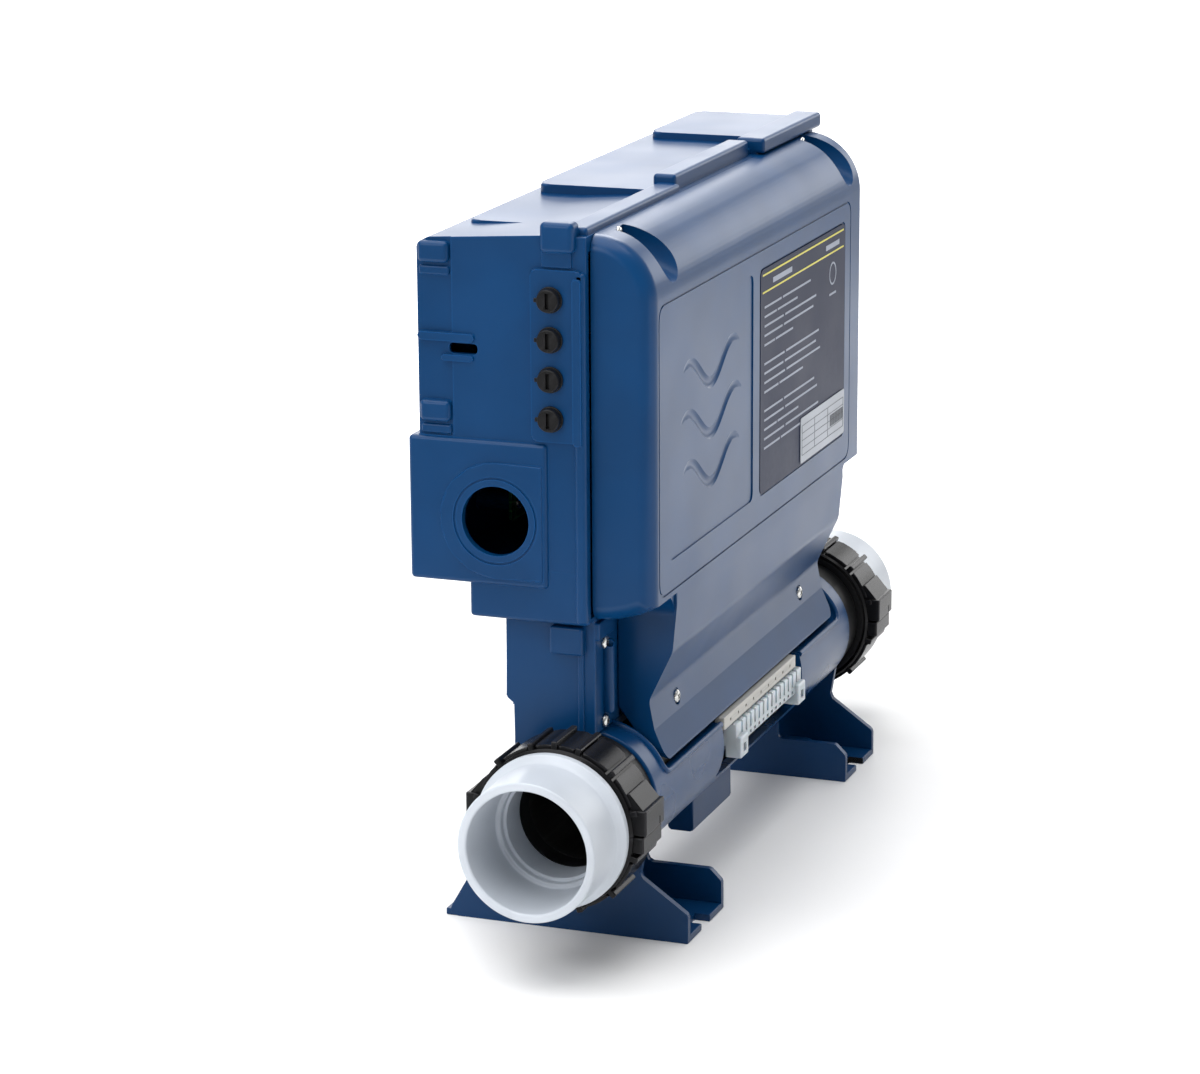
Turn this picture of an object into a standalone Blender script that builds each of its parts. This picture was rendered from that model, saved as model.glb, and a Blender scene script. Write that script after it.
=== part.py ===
"""Spa control pack with an in-line electric heater, as separate named pieces.

+X runs along the heater tube, -Y is the labelled front, +Z is up, and z = 0 is the floor under the feet.
"u" is a distance along the tube from the outer rim of either pipe union, and "side" is -1 or +1 in X.
"""
import bmesh
import bpy
from math import acos, cos, degrees, pi, radians, sin, tau
from mathutils import Matrix, Vector

# ---------------------------------------------------------------- driving sizes, in metres
GAP = 0.0003                      # clearance between touching pieces
HALF_LENGTH = 0.2475              # union rim to the middle of the object
TUBE_Y = -0.0175                  # heater axis
TUBE_Z = 0.070
FRONT_TOE_Y = -0.0675             # foot toes
BACK_Y = 0.0675                   # back of the cable box

WALL = 0.003                      # rear housing wall
COVER_WALL = 0.0026               # front cover wall
PARTING_Y = -0.0235               # plane where tray and cover meet

# enclosure
TRAY_HALF = 0.1775                # half width of the tray
TRAY_BACK_Y = 0.0625
TRAY_TOP_Z = 0.3455
RIDGE_BACK_Y = -0.0050            # behind this the top slopes down to the back
CABLE_BOX_Z = (0.1785, 0.2495)
STEP_BOX_Z = 0.1615
STEP_BOX_Y = 0.0375
NECK_HALF = 0.1690
NECK_SHELF_Z = 0.120
NECK_Y = 0.0225
NECK_LOW_Y = 0.0186
NECK_BOTTOM_Z = 0.078
PAD_RISE = 0.002                  # fuse pad and cable box stand this far out of the end face

# cover
COVER_HALF = 0.1725
COVER_END_R = 0.0080              # rounding of the edges around both ends
SKIRT_HALF = 0.1385
COVER_FRONT_Y = -0.0545
COVER_TOP_Z = 0.3497
SHOULDER_R = 0.0310
COVER_BOTTOM_Z = 0.1625
FOLD_Z = 0.1150
FOLD_Y = -0.0400
CREASE_Z = 0.1005
CREASE_Y = -0.0428
SKIRT_Z = 0.0845
SKIRT_Y = -0.0498

# heater and unions
JACKET_R = 0.0350
COLLAR_R = 0.0335                  # black collar between the jacket and the union
JACKET_BORE_R = 0.0310
JACKET_END_U = 0.0860
TUBE_R = 0.0270
BORE_R = 0.0255
TUBE_END_U = 0.0700
FITTING_U = 0.0580
SOCKET_R = 0.03015
SOCKET_DEPTH = 0.0360
RIM_R = 0.0345
NUT_R = 0.0415
NUT_U = (0.0363, 0.0675)
LUG_R = 0.0460

# fuses
FUSE_Y = -0.0062
FUSE_TOP_Z = 0.3196
FUSE_PITCH = 0.01907
FUSE_COUNT = 4

# feet
FOOT_X = 0.1600                   # outer face of the outboard web
FOOT_WIDTH = 0.0545
FOOT_BACK_Y = 0.0600
FOOT_WALL = 0.0035

BLUE = (0.012, 0.063, 0.190)
BLACK = (0.012, 0.012, 0.013)
WHITE = (0.78, 0.80, 0.83)
STEEL = (0.62, 0.62, 0.60)


# ---------------------------------------------------------------- scene, materials, small helpers
def clear_scene():
    for item in list(bpy.data.objects):
        bpy.data.objects.remove(item, do_unlink=True)


MATERIALS = {}


def material(name, color, roughness=0.4, metallic=0.0):
    if name not in MATERIALS:
        made = bpy.data.materials.new(name)
        made.use_nodes = True
        shader = made.node_tree.nodes["Principled BSDF"]
        shader.inputs["Base Color"].default_value = (*color, 1.0)
        shader.inputs["Roughness"].default_value = roughness
        shader.inputs["Metallic"].default_value = metallic
        MATERIALS[name] = made
    return MATERIALS[name]


def blue_plastic():
    return material("blue_plastic", BLUE, 0.32)


def black_plastic():
    return material("black_plastic", BLACK, 0.25)


def white_plastic():
    return material("white_plastic", WHITE, 0.35)


def steel():
    return material("steel", STEEL, 0.3, 1.0)


def object_from(bm, name, finish=None):
    """One mesh object from a bmesh, with its faces pointing out."""
    bmesh.ops.remove_doubles(bm, verts=bm.verts, dist=1e-7)
    bmesh.ops.recalc_face_normals(bm, faces=bm.faces)
    if bm.calc_volume(signed=True) < 0:
        bmesh.ops.reverse_faces(bm, faces=bm.faces)
    mesh = bpy.data.meshes.new(name)
    bm.to_mesh(mesh)
    bm.free()
    made = bpy.data.objects.new(name, mesh)
    bpy.context.scene.collection.objects.link(made)
    if finish:
        mesh.materials.append(finish)
    return made


def smooth(item, degrees=40):
    item.data.shade_smooth()
    item.data.set_sharp_from_angle(angle=radians(degrees))
    return item


def box(name, low, high, finish=None):
    bm = bmesh.new()
    bmesh.ops.create_cube(bm, size=1.0)
    size = [b - a for a, b in zip(low, high)]
    middle = [(a + b) / 2 for a, b in zip(low, high)]
    bmesh.ops.scale(bm, vec=size, verts=bm.verts)
    bmesh.ops.translate(bm, vec=middle, verts=bm.verts)
    return object_from(bm, name, finish)


def prism_x(name, outline, low_x, high_x, finish=None):
    """A (y, z) outline drawn out along X."""
    bm = bmesh.new()
    face = bm.faces.new([bm.verts.new((low_x, y, z)) for y, z in outline])
    moved = bmesh.ops.extrude_face_region(bm, geom=[face])["geom"]
    moved = [part for part in moved if isinstance(part, bmesh.types.BMVert)]
    bmesh.ops.translate(bm, vec=(high_x - low_x, 0, 0), verts=moved)
    return object_from(bm, name, finish)


def lofted_x(name, rings, finish=None):
    """A skin through (x, outline) rings that have the same number of (y, z) points, capped at both ends."""
    bm = bmesh.new()
    loops = [[bm.verts.new((x, y, z)) for y, z in outline] for x, outline in rings]
    for one, other in zip(loops, loops[1:]):
        for i in range(len(one)):
            j = (i + 1) % len(one)
            bm.faces.new((one[i], one[j], other[j], other[i]))
    bm.faces.new(loops[0])
    bm.faces.new(loops[-1])
    return object_from(bm, name, finish)


def rod(name, start, end, radius, sides=24, finish=None, end_radius=None):
    """A round bar, or a cone, between two points."""
    start, end = Vector(start), Vector(end)
    run = end - start
    bm = bmesh.new()
    turn = run.to_track_quat("Z", "Y").to_matrix().to_4x4()
    place = Matrix.Translation((start + end) / 2) @ turn
    bmesh.ops.create_cone(bm, cap_ends=True, segments=sides, radius1=radius,
                          radius2=radius if end_radius is None else end_radius,
                          depth=run.length, matrix=place)
    return object_from(bm, name, finish)


def turned(name, profile, origin, sides=48, finish=None):
    """A closed (u, radius) profile turned about the X axis through origin."""
    bm = bmesh.new()
    ring = [bm.verts.new((u, r, 0.0)) for u, r in profile]
    edges = [bm.edges.new((ring[i], ring[(i + 1) % len(ring)])) for i in range(len(ring))]
    bmesh.ops.spin(bm, geom=ring + edges, cent=(0, 0, 0), axis=(1, 0, 0), angle=tau,
                   steps=sides, use_merge=True, use_duplicate=False)
    bmesh.ops.remove_doubles(bm, verts=bm.verts, dist=1e-6)
    made = object_from(bm, name, finish)
    made.data.transform(Matrix.Translation(origin))
    return made


def combine(item, tool, operation):
    """A boolean with a tool that stays in the file as a wire guide."""
    tool.hide_render = True
    tool.display_type = "WIRE"
    step = item.modifiers.new(operation.lower(), "BOOLEAN")
    step.operation = operation
    step.solver = "EXACT"
    step.object = tool
    return item


def cut(item, tool):
    return combine(item, tool, "DIFFERENCE")


def join(item, tool):
    return combine(item, tool, "UNION")


def arc(centre, radius, start, end, steps):
    """Points of an arc in a plane, angles in degrees."""
    points = []
    for i in range(steps + 1):
        angle = radians(start + (end - start) * i / steps)
        points.append((centre[0] + radius * cos(angle), centre[1] + radius * sin(angle)))
    return points


def rim_x(side, u):
    """X of the station u on one side of the object."""
    return side * (HALF_LENGTH - u)


def on_axis(side):
    return (side * HALF_LENGTH, TUBE_Y, TUBE_Z)


def fuse_z(index):
    return FUSE_TOP_Z - FUSE_PITCH * index


def move_origin(item, point):
    """Puts the object's origin on its joint axis without moving its mesh."""
    item.data.transform(Matrix.Translation(-Vector(point)))
    item.location = point
    return item


# ---------------------------------------------------------------- screws, shared by the shells
TOP_SCREW_Z = COVER_TOP_Z - 0.0035
TOP_SCREW_X = (-0.1445, 0.1445)
SKIRT_SCREW_Z = TUBE_Z + 0.0370
SKIRT_SCREW_X = (-0.1015, 0.1015)
SKIRT_SEAT_Y = -0.0405
NECK_SCREW_X = (-0.1570, 0.1570)
NECK_SCREW_Z = (0.1088, 0.1487)
SCREW_R = 0.0018
HOLE_R = 0.0022
HEAD_R = 0.0035
HEAD_T = 0.0018


def screw(name, x, z, seat_y, length):
    """A pan-head screw that points along +Y, with its head in front of seat_y."""
    head_front = seat_y - GAP - HEAD_T
    made = rod(name, (x, head_front, z), (x, seat_y - GAP, z), HEAD_R, 14, steel())
    shank = rod(name + "_shank", (x, seat_y - HEAD_T, z), (x, seat_y + length, z), SCREW_R, 8)
    join(made, shank)
    slot = 0.0005
    for angle in (0, pi / 2):
        bar = box(name + "_drive", (-0.0018, -slot, -slot), (0.0018, slot, slot))
        bar.data.transform(Matrix.Translation((x, head_front, z)) @ Matrix.Rotation(angle, 4, "Y"))
        cut(made, bar)
    return made


def hole_y(x, z, radius, low_y, high_y):
    return rod("hole", (x, low_y, z), (x, high_y, z), radius, 12)


# ---------------------------------------------------------------- rear housing
def rear_housing():
    """The deep tray: main box, bulging cable box, stepped top and the neck that straddles the heater."""
    left, right = -TRAY_HALF, TRAY_HALF
    neck_left, neck_right = -NECK_HALF, NECK_HALF
    main = [(PARTING_Y, CABLE_BOX_Z[0]), (TRAY_BACK_Y, CABLE_BOX_Z[0]), (TRAY_BACK_Y, TRAY_TOP_Z - 0.003),
            (TRAY_BACK_Y - 0.006, TRAY_TOP_Z), (RIDGE_BACK_Y, COVER_TOP_Z), (PARTING_Y, COVER_TOP_Z)]
    body = prism_x("rear_housing", main, left, right, blue_plastic())
    join(body, box("cable_box", (left - PAD_RISE, PARTING_Y + 0.020, CABLE_BOX_Z[0]),
                   (right + PAD_RISE, BACK_Y, CABLE_BOX_Z[1])))
    join(body, box("step_box", (left, PARTING_Y, STEP_BOX_Z), (right, STEP_BOX_Y, CABLE_BOX_Z[0] + 0.010)))
    neck = [(PARTING_Y, NECK_BOTTOM_Z), (NECK_LOW_Y, NECK_BOTTOM_Z), (NECK_LOW_Y, NECK_SHELF_Z - 0.003),
            (NECK_Y, NECK_SHELF_Z), (NECK_Y, STEP_BOX_Z + 0.010), (PARTING_Y, STEP_BOX_Z + 0.010)]
    join(body, prism_x("neck", neck, neck_left, neck_right))
    for start_u, inset, top in TOP_STEPS:
        join(body, box("top_step", (start_u - HALF_LENGTH, PARTING_Y + 0.004, TRAY_TOP_Z - 0.010),
                       (right - 0.004, TUBE_Y + inset, TUBE_Z + top)))
    for low_x, high_x, low_y, high_y, top in RIDGES:
        root_y = max(low_y, PARTING_Y + 0.0004)
        join(body, box("ridge_root", (low_x, root_y, COVER_TOP_Z - 0.012), (high_x, high_y, top)))
        if low_y < root_y:
            join(body, box("ridge", (low_x, low_y, COVER_TOP_Z + 0.0005), (high_x, high_y, top)))
    join(body, box("fuse_pad", (left - PAD_RISE, -0.0215, 0.2510), (left + 0.001, 0.0040, 0.3338)))
    for clip_z in ((0.3350, 0.3540), (0.1470, 0.1590)):
        clip_x = left - 0.004 if clip_z[0] > 0.3 else neck_left - 0.0045
        join(body, box("clip", (clip_x, -0.0185, clip_z[0]), (clip_x + 0.009, -0.0015, clip_z[1])))
    for rib_z in (0.3360, 0.2620):
        join(body, rod("snap_rib", (left + 0.0015, TRAY_BACK_Y - 0.018, rib_z),
                       (left + 0.0015, TRAY_BACK_Y - 0.002, rib_z), 0.005, 12))

    cut(body, prism_x("main_cavity", [
        (PARTING_Y - 0.010, CABLE_BOX_Z[0] + WALL), (TRAY_BACK_Y - WALL, CABLE_BOX_Z[0] + WALL),
        (TRAY_BACK_Y - WALL, TRAY_TOP_Z - 0.003 - WALL), (TRAY_BACK_Y - WALL - 0.004, TRAY_TOP_Z - WALL),
        (PARTING_Y - 0.010, TRAY_TOP_Z - WALL)], left + WALL, right - WALL))
    cut(body, box("cable_cavity", (left + WALL - PAD_RISE, PARTING_Y + 0.026, CABLE_BOX_Z[0] + WALL),
                  (right - WALL + PAD_RISE, BACK_Y - WALL, CABLE_BOX_Z[1] - WALL)))
    cut(body, box("step_cavity", (left + WALL, PARTING_Y - 0.010, STEP_BOX_Z + WALL),
                  (right - WALL, STEP_BOX_Y - WALL, CABLE_BOX_Z[0] + 0.015)))
    neck_cavity = [(PARTING_Y + WALL, NECK_BOTTOM_Z - 0.010), (NECK_LOW_Y - 0.0022, NECK_BOTTOM_Z - 0.010),
                   (NECK_LOW_Y - 0.0022, NECK_SHELF_Z), (NECK_Y - WALL, NECK_SHELF_Z + 0.003),
                   (NECK_Y - WALL, STEP_BOX_Z + 0.020), (PARTING_Y + WALL, STEP_BOX_Z + 0.020)]
    cut(body, prism_x("neck_cavity", neck_cavity, neck_left + WALL, neck_right - WALL))
    cut(body, box("neck_mouth", (-SKIRT_HALF + WALL, PARTING_Y - 0.010, NECK_BOTTOM_Z - 0.010),
                  (SKIRT_HALF - WALL, PARTING_Y + 0.010, STEP_BOX_Z + 0.020)))
    saddle_r = JACKET_R + GAP
    cut(body, rod("saddle", (-HALF_LENGTH, TUBE_Y, TUBE_Z), (HALF_LENGTH, TUBE_Y, TUBE_Z), saddle_r, 48))
    cut(body, rod("cable_hole", (left - 0.010, CABLE_Y, CABLE_Z), (left + 0.010, CABLE_Y, CABLE_Z),
                  CABLE_R, 32))
    for i in range(FUSE_COUNT):
        cut(body, rod("fuse_hole", (left - 0.010, FUSE_Y, fuse_z(i)), (left + 0.006, FUSE_Y, fuse_z(i)),
                      HOLDER_R + GAP, 14))
    for x in TOP_SCREW_X:
        join(body, box("top_boss", (x - 0.006, PARTING_Y, TOP_SCREW_Z - 0.010),
                       (x + 0.006, PARTING_Y + 0.014, COVER_TOP_Z - 0.0015)))
        cut(body, hole_y(x, TOP_SCREW_Z, HOLE_R, PARTING_Y - 0.010, PARTING_Y + 0.012))
    for x in NECK_SCREW_X:
        for z in NECK_SCREW_Z:
            cut(body, hole_y(x, z, HOLE_R, PARTING_Y - 0.010, PARTING_Y + 0.010))
    for x, z in BOARD_CORNERS:
        back = BACK_Y if z < CABLE_BOX_Z[1] else TRAY_BACK_Y
        join(body, rod("standoff", (x, back - WALL + 0.0005, z), (x, BOARD_Y + BOARD_T + GAP, z), 0.0045, 12))
        cut(body, hole_y(x, z, 0.0019, BOARD_Y, TRAY_BACK_Y - WALL - 0.002))
    return body


# plateaus of the tray's top, each: start along the tube, back edge from the tube axis, height over it
TOP_STEPS = ((0.108, 0.0690, 0.2778), (0.188, 0.0640, 0.2828), (0.341, 0.0590, 0.2868))
# bars along the top front edge, each: x from, x to, y from, y to, top z
RIDGES = ((-TRAY_HALF + 0.004, -0.0405, -0.0225, -0.0100, 0.3535),
          (-0.0425, 0.0745, -0.0205, -0.0085, 0.3580),
          (0.0790, TRAY_HALF + 0.003, -0.0275, -0.0120, 0.3585))
CABLE_Y = 0.0227
CABLE_Z = 0.2104
CABLE_R = 0.01715
HOLDER_R = 0.0056
BOARD_Y = 0.0440
BOARD_T = 0.0016
BOARD_X = (-0.105, 0.150)
BOARD_Z = (0.1900, 0.3300)
BOARD_CORNERS = [(x, z) for x in (BOARD_X[0] + 0.008, BOARD_X[1] - 0.008)
                 for z in (BOARD_Z[0] + 0.008, BOARD_Z[1] - 0.008)]


# ---------------------------------------------------------------- front cover
def cover_outline(inset, back):
    """Upper part of the cover in (y, z), inset from its outer face and closed at y = back."""
    front = COVER_FRONT_Y + inset
    top = COVER_TOP_Z - inset
    radius = SHOULDER_R - inset
    shoulder = arc((front + radius, top - radius), radius, 90, 180, 10)
    floor_r = COVER_FLOOR_R - inset
    steepest = degrees(acos((front - COVER_FLOOR_Y) / floor_r))
    floor = arc((COVER_FLOOR_Y, COVER_BOTTOM_Z + COVER_FLOOR_R), floor_r, -steepest, -90, 4)
    return [(back, top)] + shoulder[1:] + floor + [(back, COVER_BOTTOM_Z + inset)]


def cover_block(name, inset, back, finish=None):
    """The cover's outer block, or its hollow, with rounded edges around both ends."""
    radius = COVER_END_R - inset
    rings = []
    for i in range(COVER_END_STEPS + 1):
        angle = pi / 2 * i / COVER_END_STEPS
        outline = cover_outline(inset + radius * (1 - sin(angle)), back)
        rings.append((COVER_HALF - inset - radius * (1 - cos(angle)), outline))
    mirrored = [(-x, outline) for x, outline in rings]
    return lofted_x(name, mirrored + rings[::-1], finish)


def skirt_outline(inset):
    """Lower part of the cover in (y, z): leans in to the fold, then flares over the heater."""
    back = PARTING_Y - GAP if inset == 0 else PARTING_Y + 0.010
    high = COVER_BOTTOM_Z + 0.012 if inset == 0 else COVER_BOTTOM_Z + 0.020
    low = SKIRT_Z if inset == 0 else SKIRT_Z - 0.010
    return [(back, high), (COVER_FRONT_Y + inset, high), (COVER_FRONT_Y + inset, COVER_BOTTOM_Z + 0.002),
            (COVER_FRONT_Y + 0.0022 + inset, 0.1410), (FOLD_Y + inset, FOLD_Z), (CREASE_Y + inset, CREASE_Z),
            (SKIRT_Y + inset, SKIRT_Z)] + ([(SKIRT_Y + inset - 0.003, low)] if inset else []) \
        + [(SKIRT_BACK_Y if inset == 0 else PARTING_Y + 0.010, low)] \
        + ([(back, FOLD_Z - 0.004)] if inset == 0 else [])


COVER_FLOOR_Y = -0.0240            # in front of this the cover's underside curves up
COVER_FLOOR_R = 0.0585
COVER_END_STEPS = 4
SKIRT_BACK_Y = -0.0440
SCALLOP_HALF = 0.013
GUSSET_R = 0.014


def gusset(side):
    """Solid concave corner in (x, z), between the wide part of the cover and its skirt."""
    inner = SKIRT_HALF - 0.002
    high = COVER_BOTTOM_Z + 0.010
    curve = arc((SKIRT_HALF + GUSSET_R, high - GUSSET_R), GUSSET_R, 90, 180, 6)
    outline = [(inner, high + 0.002), (SKIRT_HALF + GUSSET_R, high + 0.002)] + curve
    outline.append((inner, high - GUSSET_R))
    corner = prism_x("gusset", [(-side * x, z) for x, z in outline], -0.0300, COVER_FRONT_Y + 0.0012)
    corner.data.transform(Matrix.Rotation(pi / 2, 4, "Z"))
    return corner


def front_cover():
    shell = cover_block("front_cover", 0, PARTING_Y - GAP, blue_plastic())
    join(shell, prism_x("skirt", skirt_outline(0), -SKIRT_HALF, SKIRT_HALF))
    for side in (-1, 1):
        join(shell, gusset(side))
    hollow = cover_block("cover_hollow", COVER_WALL, PARTING_Y + 0.010)
    for x in TOP_SCREW_X:
        cut(hollow, box("scallop_stock", (x - SCALLOP_HALF - 0.003, -0.060, 0.3240),
                        (x + SCALLOP_HALF + 0.003, PARTING_Y + 0.020, 0.3600)))
    cut(shell, hollow)
    cut(shell, prism_x("skirt_hollow", skirt_outline(COVER_WALL),
                       -SKIRT_HALF + COVER_WALL, SKIRT_HALF - COVER_WALL))
    for x in TOP_SCREW_X:
        seat = PARTING_Y - 0.0035
        low_end = (x + 0.004, COVER_FRONT_Y - 0.004, COVER_TOP_Z - 0.017)
        cut(shell, rod("scallop", (x, seat, TOP_SCREW_Z + 0.001), low_end, 0.0075, 24, None, 0.0105))
        cut(shell, hole_y(x, TOP_SCREW_Z, HEAD_R + 0.0006, seat - 0.012, seat))
        cut(shell, hole_y(x, TOP_SCREW_Z, HOLE_R, seat - 0.010, PARTING_Y + 0.005))
    for x in SKIRT_SCREW_X:
        cut(shell, hole_y(x, SKIRT_SCREW_Z, HEAD_R + 0.0006, SKIRT_Y - 0.010, SKIRT_SEAT_Y))
        cut(shell, hole_y(x, SKIRT_SCREW_Z, HOLE_R, SKIRT_Y - 0.010, PARTING_Y))
    for low_x, high_x, low_z, high_z in PANEL_RECESSES:
        cut(shell, box("panel_recess", (low_x, COVER_FRONT_Y - 0.005, low_z),
                       (high_x, COVER_FRONT_Y + 0.0006, high_z)))
    return shell


# shallow recesses of the front: the emblem panel, then the label
PANEL_RECESSES = ((-0.1485, -0.0210, 0.1890, 0.3060), (-0.0105, 0.1385, 0.1880, 0.3065))


def cover_gasket():
    """Soft seal that lines the mouth of the cover."""
    inset = COVER_WALL + GAP
    low = (-COVER_HALF + inset, PARTING_Y - 0.0040, COVER_BOTTOM_Z + 0.0060 + inset)
    high = (COVER_HALF - inset, PARTING_Y - GAP, 0.3230)
    seal = box("cover_gasket", low, high, material("seal_rubber", (0.02, 0.02, 0.02), 0.8))
    width = 0.0030
    cut(seal, box("gasket_window", (low[0] + width, low[1] - 0.01, low[2] + width),
                  (high[0] - width, high[1] + 0.01, high[2] - width)))
    return seal


def label_plate():
    low_x, high_x, low_z, high_z = PANEL_RECESSES[1]
    return box("label_plate", (low_x + 0.001, COVER_FRONT_Y - 0.0002, low_z + 0.001),
               (high_x - 0.001, COVER_FRONT_Y + 0.0003, high_z - 0.001),
               material("label_film", (0.10, 0.12, 0.20), 0.45))


def data_sticker():
    return box("data_sticker", (0.0580, COVER_FRONT_Y - 0.0008, 0.1900), (0.1365, COVER_FRONT_Y - 0.0005, 0.2145),
               material("sticker_paper", (0.70, 0.71, 0.73), 0.6))


# ---------------------------------------------------------------- fuses
def fuse_set(index):
    """Holder, fuse and bayonet cap number index, counted from the top."""
    z = fuse_z(index)
    face = -TRAY_HALF - PAD_RISE
    tag = str(index + 1)
    front = face - GAP
    flange = 0.0012
    barrel = [(0, 0.0042), (0, 0.0063), (flange, 0.0063), (flange, HOLDER_R), (0.040, HOLDER_R),
              (0.040, 0.0015), (0.036, 0.0015), (0.036, 0.0042)]
    turned("fuse_holder_" + tag, barrel, (front - flange, FUSE_Y, z), 14, black_plastic())
    cap_back = front - flange - GAP
    cap = rod("fuse_cap_" + tag, (cap_back - 0.0030, FUSE_Y, z), (cap_back, FUSE_Y, z), 0.0054, 18,
              black_plastic(), 0.0058)
    join(cap, rod("cap_plug", (cap_back - 0.001, FUSE_Y, z), (cap_back + 0.006, FUSE_Y, z), 0.0037, 10))
    join(cap, box("cap_lug", (cap_back - 0.0015, FUSE_Y + 0.0050, z - 0.001),
                  (cap_back, FUSE_Y + 0.0072, z + 0.001)))
    cut(cap, box("cap_slot", (cap_back - 0.0060, FUSE_Y - 0.0009, z - 0.0038),
                 (cap_back - 0.0016, FUSE_Y + 0.0009, z + 0.0038)))
    move_origin(smooth(cap), (cap_back, FUSE_Y, z))
    rod("fuse_" + tag, (cap_back + 0.0065, FUSE_Y, z), (cap_back + 0.0345, FUSE_Y, z), 0.0030, 10,
        material("fuse_ceramic", (0.80, 0.80, 0.76), 0.4))


# ---------------------------------------------------------------- heater
def heater_jacket():
    """Blue moulded sleeve around the heater, open on top and in front where the cover's skirt fits."""
    profile = [(JACKET_END_U, JACKET_BORE_R), (JACKET_END_U, JACKET_R)]
    whole = 2 * HALF_LENGTH
    profile += [(whole - u, r) for u, r in reversed(profile)]
    sleeve = turned("heater_jacket", profile, (-HALF_LENGTH, TUBE_Y, TUBE_Z), 48, blue_plastic())
    cut(sleeve, box("skirt_mouth", (-SKIRT_HALF - 0.003, TUBE_Y - 0.050, SKIRT_Z - 0.0030),
                    (SKIRT_HALF + 0.003, PARTING_Y, TUBE_Z + 0.050)))
    low, high = SENSOR_WINDOW_X
    cut(sleeve, box("sensor_window", (low, TUBE_Y - 0.050, 0.0520), (high, TUBE_Y - 0.020, SKIRT_Z)))
    for x in SKIRT_SCREW_X:
        join(sleeve, box("skirt_boss", (x - 0.006, CREASE_Y + 0.0080, TUBE_Z + 0.0305),
                         (x + 0.006, TUBE_Y, TUBE_Z + 0.0430)))
        cut(sleeve, hole_y(x, SKIRT_SCREW_Z, HOLE_R, SKIRT_Y, TUBE_Y - 0.008))
    for x in TERMINAL_X:
        cut(sleeve, rod("terminal_hole", (x, TUBE_Y, TUBE_Z), (x, TUBE_Y, TUBE_Z + 0.060), 0.012, 20))
    return smooth(sleeve, 30)


SENSOR_WINDOW_X = (-0.0600, 0.0720)
TERMINAL_X = (-0.065, 0.065)
ROD_R = 0.0040


def heater_tube():
    length = 2 * (HALF_LENGTH - TUBE_END_U)
    wall = [(0, BORE_R), (0, TUBE_R), (length, TUBE_R), (length, BORE_R)]
    pipe = turned("heater_tube", wall, (-length / 2, TUBE_Y, TUBE_Z), 32, steel())
    for x in TERMINAL_X:
        cut(pipe, rod("element_hole", (x, TUBE_Y, TUBE_Z + 0.010), (x, TUBE_Y, TUBE_Z + 0.040),
                      ROD_R + GAP, 16))
    return smooth(pipe)


def heating_element():
    """One bent rod: in at a terminal, out to the tube's end, back along it, and up to the other terminal."""
    top = TUBE_Z + 0.046
    run_z = TUBE_Z + 0.008
    bend = 0.006
    loop_r = 0.009
    reach = 0.130
    half = [(TERMINAL_X[1], top)]
    half += arc((TERMINAL_X[1] + bend, run_z + bend), bend, 180, 270, 3)
    half += arc((reach, run_z - loop_r), loop_r, 90, -90, 6)
    points = [(-x, z) for x, z in half] + half[::-1]
    curve = bpy.data.curves.new("heating_element", "CURVE")
    curve.dimensions = "3D"
    curve.bevel_depth = ROD_R
    curve.bevel_resolution = 2
    curve.use_fill_caps = True
    line = curve.splines.new("POLY")
    line.points.add(len(points) - 1)
    for point, (x, z) in zip(line.points, points):
        point.co = (x, TUBE_Y, z, 1.0)
    made = bpy.data.objects.new("heating_element", curve)
    bpy.context.scene.collection.objects.link(made)
    curve.materials.append(material("element_alloy", (0.35, 0.34, 0.33), 0.4, 1.0))
    return made


def terminal_nuts():
    for tag, x in zip(("left", "right"), TERMINAL_X):
        low = TUBE_Z + TUBE_R + 0.0020
        nut = rod("terminal_nut_" + tag, (x, TUBE_Y, low), (x, TUBE_Y, low + 0.007), 0.0085, 6,
                  material("brass", (0.70, 0.52, 0.22), 0.35, 1.0))
        cut(nut, rod("nut_bore", (x, TUBE_Y, low - 0.01), (x, TUBE_Y, low + 0.02), ROD_R + GAP, 16))


def sensor_pieces():
    low, high = SENSOR_WINDOW_X
    box("sensor_strip", (low + 0.002, TUBE_Y - 0.0345, 0.0770), (high - 0.010, TUBE_Y - 0.0290, SKIRT_Z - 0.0008),
        material("strip_tin", (0.62, 0.60, 0.55), 0.4))
    block_low, block_high = low + 0.016, high - 0.006
    block = box("sensor_connector", (block_low, TUBE_Y - 0.0365, 0.0640), (block_high, TUBE_Y - 0.0290, 0.0762),
                material("connector_nylon", (0.66, 0.70, 0.72), 0.35))
    for lug_x in (block_low, block_high - 0.012):
        join(block, box("connector_lug", (lug_x, TUBE_Y - 0.0390, 0.0580), (lug_x + 0.012, TUBE_Y - 0.0300, 0.0700)))


# ---------------------------------------------------------------- pipe unions
def end_fitting(side, tag):
    """Threaded collar on the end of the heater tube."""
    start = FITTING_U
    collar_end = JACKET_END_U - GAP
    profile = [(start, BORE_R), (start, 0.0372), (0.0672, 0.0372), (0.0672, COLLAR_R), (collar_end, COLLAR_R),
               (collar_end, 0.0306), (0.0900, 0.0306), (0.0900, TUBE_R + GAP), (TUBE_END_U - GAP, TUBE_R + GAP),
               (TUBE_END_U - GAP, BORE_R)]
    profile = [(-side * u, r) for u, r in profile]
    return smooth(turned("heater_end_" + tag, profile, on_axis(side), 36, black_plastic()))


SEAL_R = 0.0315
SEAL_WIRE_R = 0.0014


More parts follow.
